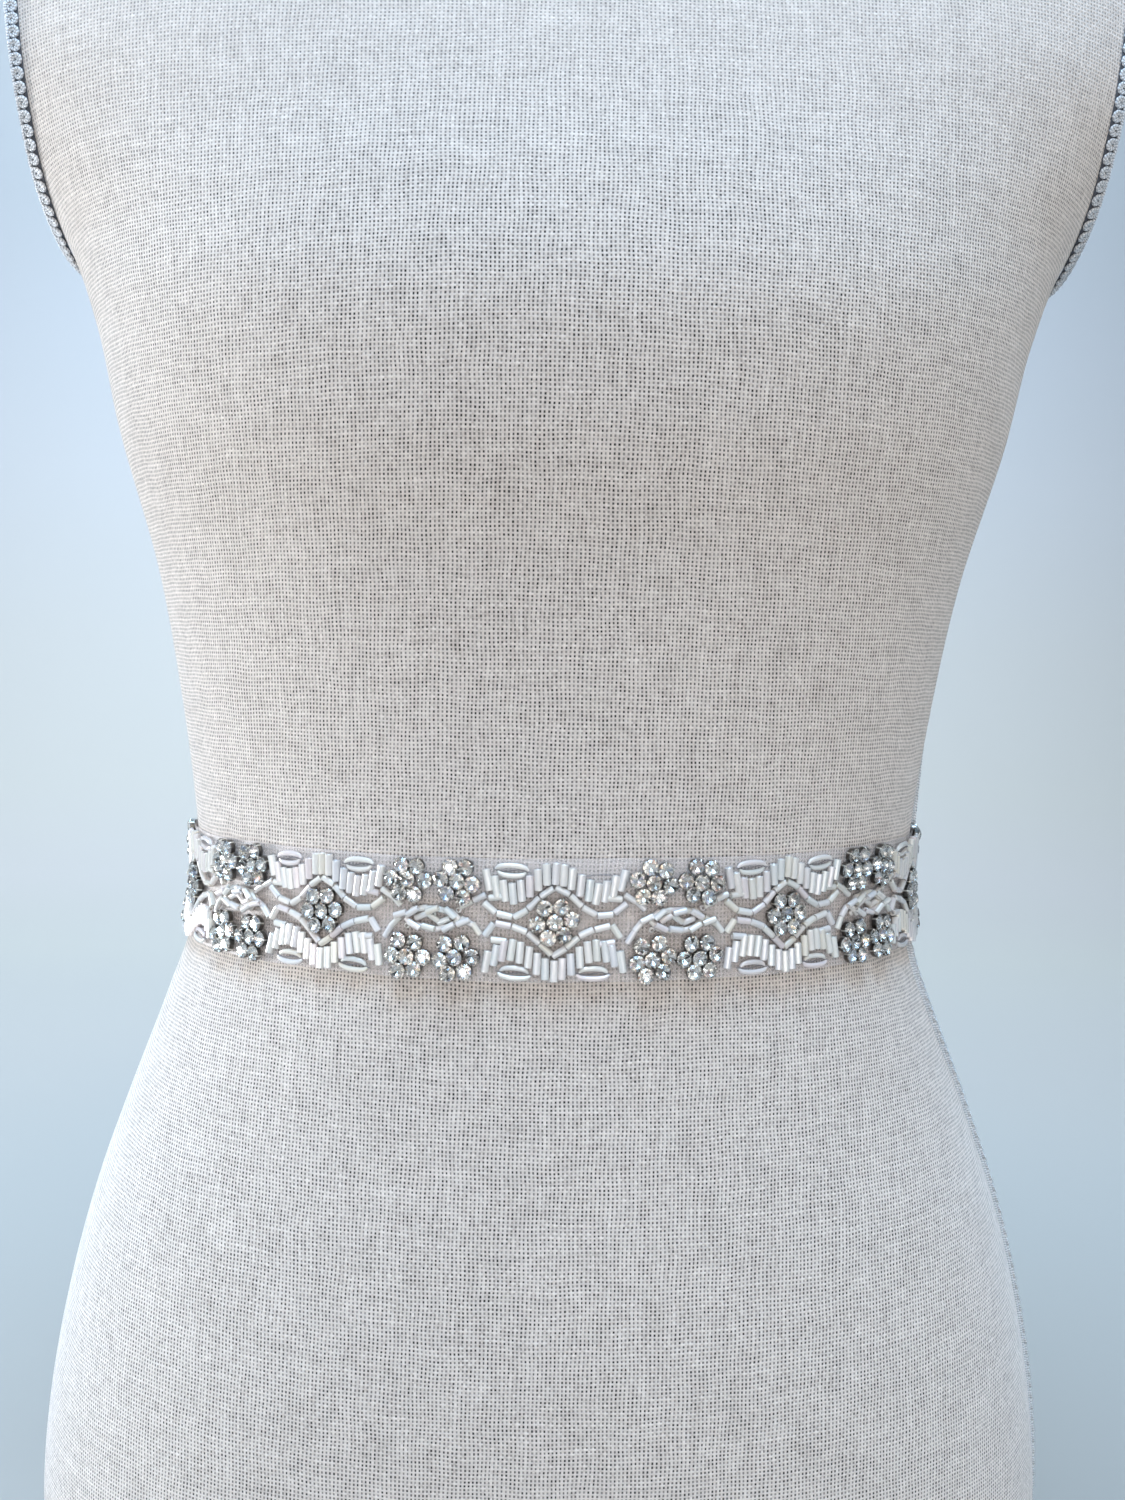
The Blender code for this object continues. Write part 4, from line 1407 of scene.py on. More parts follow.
@dataclass
class OrganzaRibbon:
    """The sheer ribbon that carries the beads, a thin shell round the waist."""

    waist: WaistLine
    half_height: float = 17.8 * MM
    middle_out: float = 0.8 * MM
    thickness: float = 0.2 * MM
    ripple: float = 0.35 * MM
    columns: int = 420
    rows: int = 18

    def build(self) -> bpy.types.Object:
        """Builds the ribbon with a slightly uneven edge and soft ripples.

        Returns:
            The ribbon, which replaces the band's solid.
        """
        end = SINGLES_EACH_SIDE * REPEAT + BAND_END
        along = np.linspace(-end, end, self.columns)[:, None]
        share = np.linspace(-1, 1, self.rows)[None, :]
        edge = self.half_height + 0.25 * MM * np.sin(along / (9.1 * MM)) * np.sin(along / (23 * MM) + share)
        up = share * edge
        lift = self.ripple * share ** 4 * (0.4 + 0.6 * np.sin(along / (4.7 * MM) + 2.5 * np.sin(along / (31 * MM))))
        grids = []
        for half in (-0.5, 0.5):
            out = self.middle_out + lift + half * self.thickness
            grids.append(self.waist.points(along, up, out).reshape(-1, 3))
        faces, places = [], []
        size = self.columns * self.rows
        flat = np.stack(np.broadcast_arrays(along, up), axis=-1).reshape(-1, 2)
        for i in range(self.columns - 1):
            for j in range(self.rows - 1):
                a = i * self.rows + j
                quad = (a, a + 1, a + self.rows + 1, a + self.rows)
                faces += [quad, tuple(size + k for k in quad)]
        border = [i * self.rows for i in range(self.columns)]
        border += [(self.columns - 1) * self.rows + j for j in range(1, self.rows)]
        border += [i * self.rows + self.rows - 1 for i in range(self.columns - 2, -1, -1)]
        border += list(range(self.rows - 2, 0, -1))
        for a, b in zip(border, border[1:] + border[:1]):
            faces.append((a, b, size + b, size + a))
        places = [[tuple(flat[k % size]) for k in face] for face in faces]
        mesh = PieceMesh("organza_ribbon", [SheerOrganza().material()])
        mesh.add(Shape(np.concatenate(grids), faces, [0] * len(faces), places))
        piece = mesh.build()
        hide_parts("sash_band")
        return piece


@dataclass
class BeadPlaces:
    """Where beads lie on the sash, which way each points, and how light each is."""

    along: list[float] = field(default_factory=list)
    up: list[float] = field(default_factory=list)
    turn: list[float] = field(default_factory=list)
    tone: list[float] = field(default_factory=list)

    def add(self, along: float, up: float, turn: float, tone: float) -> None:
        """Adds one bead; its turn is the angle of its long axis from the sash's."""
        self.along.append(along)
        self.up.append(up)
        self.turn.append(turn)
        self.tone.append(tone)


@dataclass
class GlassBeads:
    """Bugle beads threaded on white thread and sewn to the ribbon."""

    waist: WaistLine
    seed: int = 11
    sides: int = 12
    thread_radius: float = 0.3 * MM

    def __post_init__(self) -> None:
        """Seeds the beads' small unevenness, so that every run is the same."""
        self.random = np.random.default_rng(self.seed)

    def bead(self, length: float, radius: float, hole: float, bevel: float) -> Shape:
        """A glass tube along X, with a hole and softened ends.

        Args:
            length: From end to end.
            radius: Outside.
            hole: The hole's radius.
            bevel: How far the ends are softened.

        Returns:
            The bead.
        """
        half = length / 2
        profile = [
            (hole, -half + bevel), (hole + bevel, -half), (radius - bevel, -half), (radius, -half + bevel),
            (radius, half - bevel), (radius - bevel, half), (hole + bevel, half), (hole, half - bevel),
        ]
        shape = turned(profile, self.sides, closed=True)
        shape.points = shape.points[:, [2, 0, 1]]
        return shape

    def lay(self, mesh: PieceMesh, places: BeadPlaces, bead: Shape, out: float, wobble: float = 0.0) -> None:
        """Lays copies of a bead on the ribbon.

        Args:
            mesh: The piece they go into.
            places: Where they lie.
            bead: The bead, along X.
            out: How far their middles lie from the skin.
            wobble: The most that a bead tips out of the ribbon, in radians.
        """
        along, up = np.array(places.along), np.array(places.up)
        origins, axes = self.waist.frames(along, up, np.full(len(along), out))
        for origin, rows, turn, tone in zip(origins, axes, places.turn, places.tone):
            tip = self.random.uniform(-wobble, wobble)
            local = Euler((self.random.uniform(0, math.pi), tip, turn)).to_matrix()
            mesh.add_at(bead, origin, np.array(local.transposed()) @ rows, tone)

    def jitter(self, size: float) -> float:
        """A small random number between -size and size."""
        return float(self.random.uniform(-size, size))


@dataclass
class BugleFans(GlassBeads):
    """Fans of upright bugles that wave over and under each single flower."""

    pitch: float = 2.4 * MM
    half_count: int = 8
    length: float = 6.2 * MM
    radius: float = 1.19 * MM
    hole: float = 0.42 * MM
    line: float = 11.1 * MM
    swing: float = 2.9 * MM
    wave: float = 24.5 * MM
    spread: float = 0.55 / MM
    seed: int = 21

    def places(self) -> BeadPlaces:
        """Works out where the upright bugles stand."""
        found = BeadPlaces()
        for k in range(-SINGLES_EACH_SIDE, SINGLES_EACH_SIDE + 1):
            for half in Half:
                drift = self.jitter(1.5)
                for i in range(-self.half_count, self.half_count + 1):
                    away = i * self.pitch + self.jitter(0.12 * MM)
                    middle = self.line + self.swing * math.cos(2 * math.pi * away / self.wave)
                    middle += self.jitter(0.25 * MM)
                    lean = math.radians(drift - self.spread * away + self.jitter(2.5))
                    found.add(
                        k * REPEAT + away, half.value * middle,
                        math.pi / 2 + half.value * lean, float(self.random.random()),
                    )
        return found

    def build(self) -> list[bpy.types.Object]:
        """Builds the fans."""
        places = self.places()
        out = BAND_OUTSIDE + self.radius
        fans = PieceMesh("bugle_fans", [BeadGlass().material()])
        self.lay(fans, places, self.bead(self.length, self.radius, self.hole, 0.1 * MM), out)
        piece = fans.build(35.0)
        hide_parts("sash_band")
        return [piece]


@dataclass
class CurvedEyes(GlassBeads):
    """Ovals of long curved beads that fill the dips of the fans."""

    upper: tuple[float, float] = (12.4 * MM, 14.5 * MM)
    lower: tuple[float, float] = (11.2 * MM, -15.0 * MM)
    half_length: float = 4.7 * MM
    half_height: float = 1.25 * MM
    radius: float = 0.82 * MM
    steps: int = 12
    seed: int = 31

    def build(self) -> list[bpy.types.Object]:
        """Builds the eyes, and the dark thread that outlines them.

        Returns:
            The beads and the thread.
        """
        beads = PieceMesh("curved_eye_beads", [BeadGlass().material()])
        threads = PieceMesh("eye_outline_thread", [self.outline().material()])
        for k in range(-SINGLES_EACH_SIDE, SINGLES_EACH_SIDE + 1):
            for middle_along, middle_up in (self.upper, self.lower):
                for side in (-1, 1):
                    # One bead pair of the middle fan is missing on the real sash.
                    missing = k == 0 and side == 1 and middle_up > 0
                    self.eye(beads, threads, k * REPEAT + side * middle_along, middle_up, missing)
        piece = beads.build(60.0)
        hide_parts("sash_band")
        return [piece, threads.build(60.0)]

    def outline(self) -> DullThread:
        """The grey sewing thread of the outlines."""
        return DullThread(name="grey_sewing_thread", light="#8F8D92", dark="#66646A")

    def eye(self, beads: PieceMesh, threads: PieceMesh, along: float, up: float, missing: bool) -> None:
        """Adds one eye.

        Args:
            beads: The piece that its beads go into.
            threads: The piece that its thread goes into.
            along: Its middle's place along the sash.
            up: Its middle's height.
            missing: Whether its beads were lost, which leaves the thread.
        """
        lean = math.radians(self.jitter(5.0))
        share = np.linspace(-1, 1, self.steps)
        arch = np.sqrt(np.clip(1 - share ** 2, 0, 1))
        for half in (-1, 1):
            flat = np.stack([
                share * self.half_length * (1.0 if half * up > 0 else 0.86),
                half * (0.25 * MM + self.half_height * arch),
            ], axis=1)
            radius = self.radius * (0.45 + 0.55 * arch ** 0.6)
            if not missing:
                path = self.turned_path(flat, along, up, lean, BAND_OUTSIDE + self.radius + 0.25 * MM)
                outward = path[1]
                beads.add(tube(path[0], outward, radius, 10), float(self.random.random()))
        line = np.stack([share * (self.half_length + 0.7 * MM), 0.35 * MM * np.sin(share * 4)], axis=1)
        if missing:
            line[:, 1] = -2.2 * MM + 1.2 * MM * arch
        path = self.turned_path(line, along, up, lean, BAND_OUTSIDE + 1.25 * MM)
        threads.add(tube(path[0], path[1], 0.15 * MM, 5))

    def turned_path(
        self, flat: np.ndarray, along: float, up: float, lean: float, out: float
    ) -> tuple[np.ndarray, np.ndarray]:
        """Puts a flat path on the sash, turned about a place.

        Args:
            flat: The path's points about that place.
            along: The place along the sash.
            up: The place's height.
            lean: How far the path is turned.
            out: How far it lies from the skin.

        Returns:
            The path in the row frame, and the outward direction at each point.
        """
        x = flat[:, 0] * math.cos(lean) - flat[:, 1] * math.sin(lean)
        y = flat[:, 0] * math.sin(lean) + flat[:, 1] * math.cos(lean)
        origins, axes = self.waist.frames(along + x, up + y, np.full(len(x), out))
        return origins, axes[:, 2]


@dataclass
class BeadStrands(GlassBeads):
    """Strands of short bugles that run above and below each single flower."""

    length: float = 4.5 * MM
    gap: float = 0.2 * MM
    radius: float = 1.05 * MM
    hole: float = 0.38 * MM
    seed: int = 41
    # Away from the single flower and up, in millimetres.
    upper: tuple[tuple[float, float], ...] = (
        (-20.3, 5.4), (-18.3, 3.4), (-15.0, 1.7), (-10.6, 1.5), (-7.0, 4.2), (-3.0, 8.0), (0.0, 9.6),
        (3.4, 8.1), (8.0, 4.1), (12.4, 1.9), (16.6, 2.3), (20.6, 5.2),
    )
    lower: tuple[tuple[float, float], ...] = (
        (-19.8, -4.6), (-17.4, -1.1), (-12.2, -1.6), (-7.2, -3.7), (-3.4, -7.1), (0.0, -9.8),
        (3.4, -7.3), (8.0, -3.7), (12.6, -2.0), (16.6, -1.4), (18.6, -4.9),
    )
    # Short level beads that end a strand at the fan: middle away, up, and turn in degrees.
    ends: tuple[tuple[float, float, float], ...] = (
        (-16.6, 6.9, 3.0), (16.8, 6.7, -4.0), (-15.8, -5.6, -5.0), (15.0, -6.3, 8.0),
    )

    def strand(self, found: BeadPlaces, single: float, knots: np.ndarray) -> None:
        """Threads beads along one strand.

        Args:
            found: The places to add to.
            single: The single flower's place along the sash.
            knots: The strand's knots, away and up, in metres.
        """
        t = lengths_along(knots)
        fine = np.linspace(0, t[-1], 400)
        path = np.stack([smooth_values(fine, t, knots[:, 0]), smooth_values(fine, t, knots[:, 1])], axis=1)
        lengths = lengths_along(path)
        count = int(lengths[-1] // (self.length + self.gap))
        step = lengths[-1] / count
        for i in range(count):
            place = (i + 0.5) * step
            ends = [np.array([np.interp(place + d, lengths, c) for c in path.T])
                    for d in (-0.45 * self.length, 0.0, 0.45 * self.length)]
            slope = ends[2] - ends[0]
            middle = (ends[0] + ends[1] * 2 + ends[2]) / 4
            found.add(single + middle[0], middle[1] + self.jitter(0.1 * MM),
                      math.atan2(slope[1], slope[0]), float(self.random.random()))

    def build(self) -> list[bpy.types.Object]:
        """Builds both strands at every single flower.

        Returns:
            The beads and the grey thread that holds them down.
        """
        found = BeadPlaces()
        threads = PieceMesh("strand_thread", [
            DullThread(name="grey_sewing_thread", light="#8F8D92", dark="#66646A").material()])
        for k in range(-SINGLES_EACH_SIDE, SINGLES_EACH_SIDE + 1):
            for knots in (self.upper, self.lower):
                table = np.array(knots) * MM
                self.strand(found, k * REPEAT, table)
                self.couch(threads, k * REPEAT, table)
            for away, up, turn in self.ends:
                found.add(k * REPEAT + away * MM, up * MM + self.jitter(0.2 * MM),
                          math.radians(turn + self.jitter(4.0)), float(self.random.random()))
        mesh = PieceMesh("bead_strands", [BeadGlass().material()])
        bead = self.bead(self.length, self.radius, self.hole, 0.1 * MM)
        self.lay(mesh, found, bead, BAND_OUTSIDE + self.radius, 0.02)
        piece = mesh.build(35.0)
        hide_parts("sash_band")
        return [piece, threads.build(60.0)]

    def couch(self, threads: PieceMesh, single: float, table: np.ndarray) -> None:
        """Adds a grey thread outside the strand's arch, over the single flower.

        Args:
            threads: The piece it goes into.
            single: The single flower's place along the sash.
            table: The strand's knots, in metres.
        """
        side = 1 if table[len(table) // 2, 1] > 0 else -1
        away = np.linspace(-7.2, 7.2, 40) * MM
        up = np.interp(away, table[:, 0], table[:, 1]) + side * 1.25 * MM
        up += 0.12 * MM * np.sin(away / (0.5 * MM))
        origins, axes = self.waist.frames(single + away, up, np.full(len(away), BAND_OUTSIDE + 0.35 * MM))
        threads.add(tube(origins, axes[:, 2], 0.17 * MM, 5))


@dataclass
class CentreRings(GlassBeads):
    """The oval ring of beads between two double flowers, and the beads that cross beside it."""

    half_length: float = 7.4 * MM
    half_height: float = 2.9 * MM
    ring_count: int = 10
    bead_length: float = 4.0 * MM
    radius: float = 0.95 * MM
    hole: float = 0.35 * MM
    seed: int = 51
    # Middle away from the ring's middle, up (both in millimetres), and turn in degrees.
    crossing: tuple[tuple[float, float, float], ...] = (
        (-10.9, 4.6, -38.0), (-11.2, -1.6, 46.0), (-13.4, -4.6, 60.0), (10.0, 4.6, 28.0),
        (12.9, -2.6, -50.0), (10.2, -0.6, -35.0), (-13.9, 6.6, -30.0), (13.8, 6.4, 25.0),
        (-3.3, 0.4, 24.0), (3.5, -0.5, 18.0), (0.2, 0.3, -32.0),
    )
    # Beads that were sewn over the ring, given in the same way.
    over: tuple[tuple[float, float, float], ...] = (
        (-5.4, 2.0, 36.0), (5.2, -2.1, 33.0), (-5.0, -2.0, -30.0), (5.6, 1.9, -37.0), (0.4, 2.5, 16.0),
        (-0.7, -2.5, -14.0), (-9.2, 0.9, 22.0), (9.4, -0.6, 17.0),
    )
    seeds_at: tuple[tuple[float, float], ...] = ((-7.6, -2.6), (7.6, 3.0), (-2.6, 0.7), (2.2, -0.6), (0.1, 1.4))
    seed_radius: float = 0.95 * MM

    def build(self) -> list[bpy.types.Object]:
        """Builds the rings, the crossing beads and the round seed beads.

        Returns:
            The piece with all of them.
        """
        found, top = BeadPlaces(), BeadPlaces()
        mesh = PieceMesh("centre_bead_rings", [BeadGlass().material()])
        for k in range(-SINGLES_EACH_SIDE, SINGLES_EACH_SIDE):
            middle = (k + 0.5) * REPEAT
            self.ring(found, middle)
            for places, rows in ((found, self.crossing), (top, self.over)):
                for away, up, turn in rows:
                    places.add(middle + away * MM, up * MM + self.jitter(0.2 * MM),
                               math.radians(turn + self.jitter(6.0)), float(self.random.random()))
            for away, up in self.seeds_at:
                self.seed_bead(mesh, middle + away * MM + self.jitter(0.4 * MM), up * MM + self.jitter(0.3 * MM))
        bead = self.bead(self.bead_length, self.radius, self.hole, 0.1 * MM)
        self.lay(mesh, found, bead, BAND_OUTSIDE + self.radius, 0.05)
        self.lay(mesh, top, bead, BAND_OUTSIDE + 2.5 * self.radius, 0.12)
        piece = mesh.build(35.0)
        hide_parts("sash_band")
        return [piece]

    def ring(self, found: BeadPlaces, middle: float) -> None:
        """Threads beads round one oval.

        Args:
            found: The places to add to.
            middle: The oval's middle along the sash.
        """
        turn = np.linspace(0, 2 * math.pi, 361)
        oval = np.stack([self.half_length * np.cos(turn), self.half_height * np.sin(turn)], axis=1)
        even = spaced_evenly(oval, 2 * self.ring_count + 1)
        for i in range(1, 2 * self.ring_count, 2):
            slope = even[i + 1] - even[i - 1]
            found.add(middle + even[i, 0], even[i, 1] + self.jitter(0.25 * MM),
                      math.atan2(slope[1], slope[0]), float(self.random.random()))

    def seed_bead(self, mesh: PieceMesh, along: float, up: float) -> None:
        """Adds one round seed bead.

        Args:
            mesh: The piece it goes into.
            along: Its place along the sash.
            up: Its height.
        """
        steps = np.linspace(0.16, 0.84, 7) * math.pi
        profile = [(self.seed_radius * math.sin(t), -0.8 * self.seed_radius * math.cos(t)) for t in steps]
        bead = turned(profile, self.sides, closed=True)
        origins, axes = self.waist.frames(
            np.array([along]), np.array([up]), np.array([BAND_OUTSIDE + self.seed_radius]))
        mesh.add_at(bead, origins[0], axes[0], float(self.random.random()))


@dataclass
class ClawFlowers:
    """Flowers of seven round stones, each a foiled crystal held in a claw cup."""

    waist: WaistLine
    girdle_radius: float = 2.34 * MM
    table_radius: float = 1.25 * MM
    crown_height: float = 0.95 * MM
    back_depth: float = 1.55 * MM
    cup_radius: float = 2.42 * MM
    cup_height: float = 1.55 * MM
    claw_count: int = 4
    claw_width: float = 0.3 * MM
    girdle_out: float = 3.55 * MM
    seed: int = 61

    def __post_init__(self) -> None:
        """Seeds the stones' turns and tilts, so that every run is the same."""
        self.random = np.random.default_rng(self.seed)

    def stone(self) -> Shape:
        """A round brilliant about its girdle: a clear crown, and foiled back facets.

        Returns:
            The stone, facing +Z, with the crown in slot 0 and the foil in slot 1.
        """
        eighth = math.pi / 4
        points: list[tuple[float, float, float]] = []

        def ring(count: int, radius: float, height: float, shift: float) -> list[int]:
            """Adds evenly turned points and gives back their numbers."""
            start = len(points)
            for i in range(count):
                turn = 2 * math.pi * i / count + shift
                points.append((radius * math.cos(turn), radius * math.sin(turn), height))
            return list(range(start, start + count))

        table = ring(8, self.table_radius, self.crown_height, 0.0)
        star = ring(8, 0.5 * (self.table_radius + self.girdle_radius) + 0.05 * MM, 0.55 * self.crown_height, eighth / 2)
        upper = ring(16, self.girdle_radius, 0.05 * MM, 0.0)
        lower = ring(16, self.girdle_radius, -0.05 * MM, 0.0)
        back = ring(8, 0.42 * self.girdle_radius, -0.72 * self.back_depth, eighth / 2)
        tip = ring(1, 0.0, -self.back_depth, 0.0)[0]
        faces: list[tuple[int, ...]] = [tuple(table)]
        for i in range(8):
            j, before = (i + 1) % 8, (i - 1) % 8
            faces.append((table[i], table[j], star[i]))
            faces.append((table[i], star[before], upper[2 * i], star[i]))
            faces.append((star[i], upper[2 * i], upper[2 * i + 1]))
            faces.append((star[i], upper[2 * i + 1], upper[(2 * i + 2) % 16]))
        crown = len(faces)
        for i in range(16):
            j = (i + 1) % 16
            faces.append((upper[i], upper[j], lower[j], lower[i]))
        for i in range(8):
            before = (i - 1) % 8
            faces.append((tip, back[before], lower[2 * i], back[i]))
            faces.append((back[i], lower[2 * i], lower[2 * i + 1]))
            faces.append((back[i], lower[2 * i + 1], lower[(2 * i + 2) % 16]))
        slots = [0] * crown + [1] * (len(faces) - crown)
        return Shape(np.array(points), faces, slots)

    def cup(self) -> Shape:
        """A pressed cup below the girdle, with claws bent over it.

        Returns:
            The cup, in slot 2.
        """
        outer, wall, low = self.cup_radius, 0.14 * MM, -self.cup_height - 0.35 * MM
        top = -0.3 * MM
        ring = turned([
            (outer - 0.5 * MM, low), (outer - 0.1 * MM, low + 0.3 * MM), (outer, top),
            (outer - wall, top), (outer - wall - 0.1 * MM, low + 0.4 * MM), (outer - 0.6 * MM, low + 0.15 * MM),
        ], 12, closed=True)
        parts = [ring]
        for i in range(self.claw_count):
            turn = 2 * math.pi * (i + 0.5) / self.claw_count
            reach = np.array([outer + 0.02 * MM, outer + 0.06 * MM, outer - 0.05 * MM, outer - 0.42 * MM, outer - 0.62 * MM])
            height = np.array([low + 0.4 * MM, -0.2 * MM, 0.22 * MM, 0.5 * MM, 0.52 * MM])
            path = np.stack([reach * math.cos(turn), reach * math.sin(turn), height], axis=1)
            side = np.array([-math.sin(turn), math.cos(turn), 0.0])
            outward = np.cross(side, unit(np.gradient(path, axis=0)))
            width = np.array([0.42, 0.4, 0.36, 0.3, 0.2]) * 2 * self.claw_width
            parts.append(tube(path, outward, width, 6, flat=0.42))
        points, faces, start = [], [], 0
        for part in parts:
            points.append(part.points)
            faces += [tuple(start + k for k in face) for face in part.faces]
            start += len(part.points)
        return Shape(np.concatenate(points), faces, [2] * len(faces))

    def add_flower(self, mesh: PieceMesh, along: float, up: float, loose: float) -> None:
        """Adds one flower of seven stones.

        Args:
            mesh: The piece it goes into.
            along: Its middle's place along the sash.
            up: Its middle's height.
            loose: How unevenly it is set, from 0 to 1.
        """
        turn = self.random.uniform(-0.22, 0.22)
        cells = [(0.0, 0.0)]
        for i in range(6):
            angle = math.pi / 3 * i + turn
            cells.append((STONE_PITCH * math.cos(angle), STONE_PITCH * math.sin(angle)))
        stone, cup = self.stone(), self.cup()
        for x, y in cells:
            shift = self.random.uniform(-0.34, 0.34, 2) * MM * loose
            origin, axes = self.waist.frames(
                np.array([along + x + shift[0]]), np.array([up + y + shift[1]]),
                np.array([self.girdle_out + self.random.uniform(-0.12, 0.2) * MM]))
            tilt = Euler((
                self.random.normal(0, 0.05 * loose + 0.02), self.random.normal(0, 0.05 * loose + 0.02),
                self.random.uniform(0, math.pi),
            )).to_matrix()
            rows = np.array(tilt.transposed()) @ axes[0]
            # Random tones pick each facet's painted reflection on the foil.
            tones = self.random.random(len(stone.faces))
            mesh.add_at(stone, origin[0], rows, tones)
            # The cup's ring, its first 72 faces, gets painted shade; the claws stay bright.
            mesh.add_at(cup, origin[0], rows, np.where(np.arange(len(cup.faces)) < 72, 0.0, 0.8))

    def piece(self, name: str) -> PieceMesh:
        """Starts a piece with the stones' three materials."""
        return PieceMesh(name, [
            CrystalGlass().material(), StoneFoil().material(), ClawMetal().material()])

    def build(self) -> list[bpy.types.Object]:
        """Builds the single flowers, and the double ones above and below the middle line.

        Returns:
            The three pieces.
        """
        singles = self.piece("flowers_single")
        for i in range(2 * SINGLES_EACH_SIDE + 1):
            self.add_flower(singles, (i - SINGLES_EACH_SIDE) * REPEAT, 0.0, 0.6)
        made = [singles.build(12.0)]
        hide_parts(*[f"flower_single_{i + 1}" for i in range(2 * SINGLES_EACH_SIDE + 1)])
        for half, word in ((Half.UPPER, "top"), (Half.LOWER, "low")):
            doubles = self.piece(f"flowers_double_{word}")
            for i in range(2 * SINGLES_EACH_SIDE):
                middle = (i - SINGLES_EACH_SIDE + 0.5) * REPEAT
                for away in (-DOUBLE_SPAN / 2, DOUBLE_SPAN / 2):
                    self.add_flower(doubles, middle + away, half.value * DOUBLE_LINE, 1.0)
            made.append(doubles.build(12.0))
            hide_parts(*[f"flower_double_{word}_{i + 1}" for i in range(2 * SINGLES_EACH_SIDE)])
        return [piece for piece in made]


@dataclass
class BackClosure:
    """Two satin tabs that lap at the back, and the covered caps of their snaps."""

    waist: WaistLine
    band_inside: float = 0.3 * MM
    wall: float = 1.0 * MM
    gap: float = 0.3 * MM
    half_height: float = 17.0 * MM
    overlap: float = 15.0 * MM
    ramp: float = 10.0 * MM
    cloth: float = 0.5 * MM
    columns: int = 60
    rows: int = 22
    snap_radius: float = 4.5 * MM
    snap_thickness: float = 1.2 * MM
    snap_spacing: float = 11.0 * MM

    def tab(self, name: str, node: str, side: int) -> bpy.types.Object:
        """One tab: a thin folded band of satin with turned edges.

        Args:
            name: The piece's name.
            node: The solid that it replaces.
            side: 1 for the tab that comes from +X and laps over, -1 for the one beneath.

        Returns:
            The tab.
        """
        start = SINGLES_EACH_SIDE * REPEAT + BAND_END + self.gap
        end = self.waist.half_round + self.overlap
        along = np.linspace(start, end, self.columns)[:, None]
        share = np.linspace(-1, 1, self.rows)[None, :]
        ramp_end = self.waist.half_round - self.overlap - 2 * self.gap
        climb = np.clip((along - ramp_end + self.ramp) / self.ramp, 0, 1) if side > 0 else 0 * along
        climb = climb * climb * (3 - 2 * climb)
        base = self.band_inside + (self.wall + self.gap) * climb
        hem = np.exp(-((np.abs(share) - 0.8) / 0.05) ** 2)
        pull = 0.12 * MM * np.sin(share * 5.3 + along / (6.1 * MM)) * (1 - share ** 2)
        edge = 1 - np.abs(share) ** 14
        middle = base + self.wall / 2 + pull
        half = (self.cloth / 2) * (0.35 + 0.65 * edge) - 0.09 * MM * hem
        up = share * self.half_height + 0 * along
        grids = [self.waist.points(side * along, up, middle + s * half).reshape(-1, 3) for s in (-1, 1)]
        size = self.columns * self.rows
        faces = []
        for i in range(self.columns - 1):
            for j in range(self.rows - 1):
                a = i * self.rows + j
                quad = (a, a + 1, a + self.rows + 1, a + self.rows)
                faces += [quad, tuple(size + k for k in quad)]
        border = [i * self.rows for i in range(self.columns)]
        border += [(self.columns - 1) * self.rows + j for j in range(1, self.rows)]
        border += [i * self.rows + self.rows - 1 for i in range(self.columns - 2, -1, -1)]
        border += list(range(self.rows - 2, 0, -1))
        faces += [(a, b, size + b, size + a) for a, b in zip(border, border[1:] + border[:1])]
        flat = np.stack(np.broadcast_arrays(along, up), axis=-1).reshape(-1, 2)
        places = [[tuple(flat[k % size]) for k in face] for face in faces]
        mesh = PieceMesh(name, [DuchessSatin().material()])
        mesh.add(Shape(np.concatenate(grids), faces, [0] * len(faces), places))
        piece = mesh.build(60.0)
        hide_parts(node)
        return piece

    def snap(self, i: int) -> bpy.types.Object:
        """One snap cap: a low dome covered in satin, gathered under its rim.

        Args:
            i: Its number, 0 for the lowest.

        Returns:
            The cap.
        """
        radius, thick = self.snap_radius, self.snap_thickness
        profile = [(0.0, 0.0), (radius * 0.9, 0.0)]
        profile += [(radius * (0.88 + 0.12 * math.cos(t)), thick * (0.3 + 0.3 * math.sin(t)))
                    for t in np.linspace(-1.2, 1.2, 6)]
        profile += [(radius * share, thick * (1 - 0.42 * share ** 2)) for share in (0.8, 0.6, 0.4, 0.2)]
        profile.append((0.0, thick))
        cap = turned(profile, 40)
        turn = np.arctan2(cap.points[:, 1], cap.points[:, 0])
        reach = np.hypot(cap.points[:, 0], cap.points[:, 1]) / radius
        cap.points[:, 2] += 0.05 * MM * np.sin(turn * 10) * np.clip(reach - 0.5, 0, 1)
        seat = self.band_inside + 2 * (self.wall + self.gap)
        up = (i - 1) * self.snap_spacing
        points = self.waist.points(
            self.waist.half_round + cap.points[:, 0], up + cap.points[:, 1], seat - 0.3 * MM + cap.points[:, 2])
        places = [[tuple(cap.points[k, :2]) for k in face] for face in cap.faces]
        mesh = PieceMesh(f"snap_cap_cover_{i + 1}", [DuchessSatin().material()])
        mesh.add(Shape(points, cap.faces, cap.slots, places))
        piece = mesh.build(60.0)
        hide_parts(f"snap_cap_{i + 1}")
        return piece

    def build(self) -> list[bpy.types.Object]:
        """Builds the two tabs and the three caps.

        Returns:
            The tab beneath, the tab that laps over it, and the caps.
        """
        return [
            self.tab("satin_tab_inner", "closing_tab_inner", -1),
            self.tab("satin_tab_outer", "closing_tab_outer", 1),
        ] + [self.snap(i) for i in range(3)]


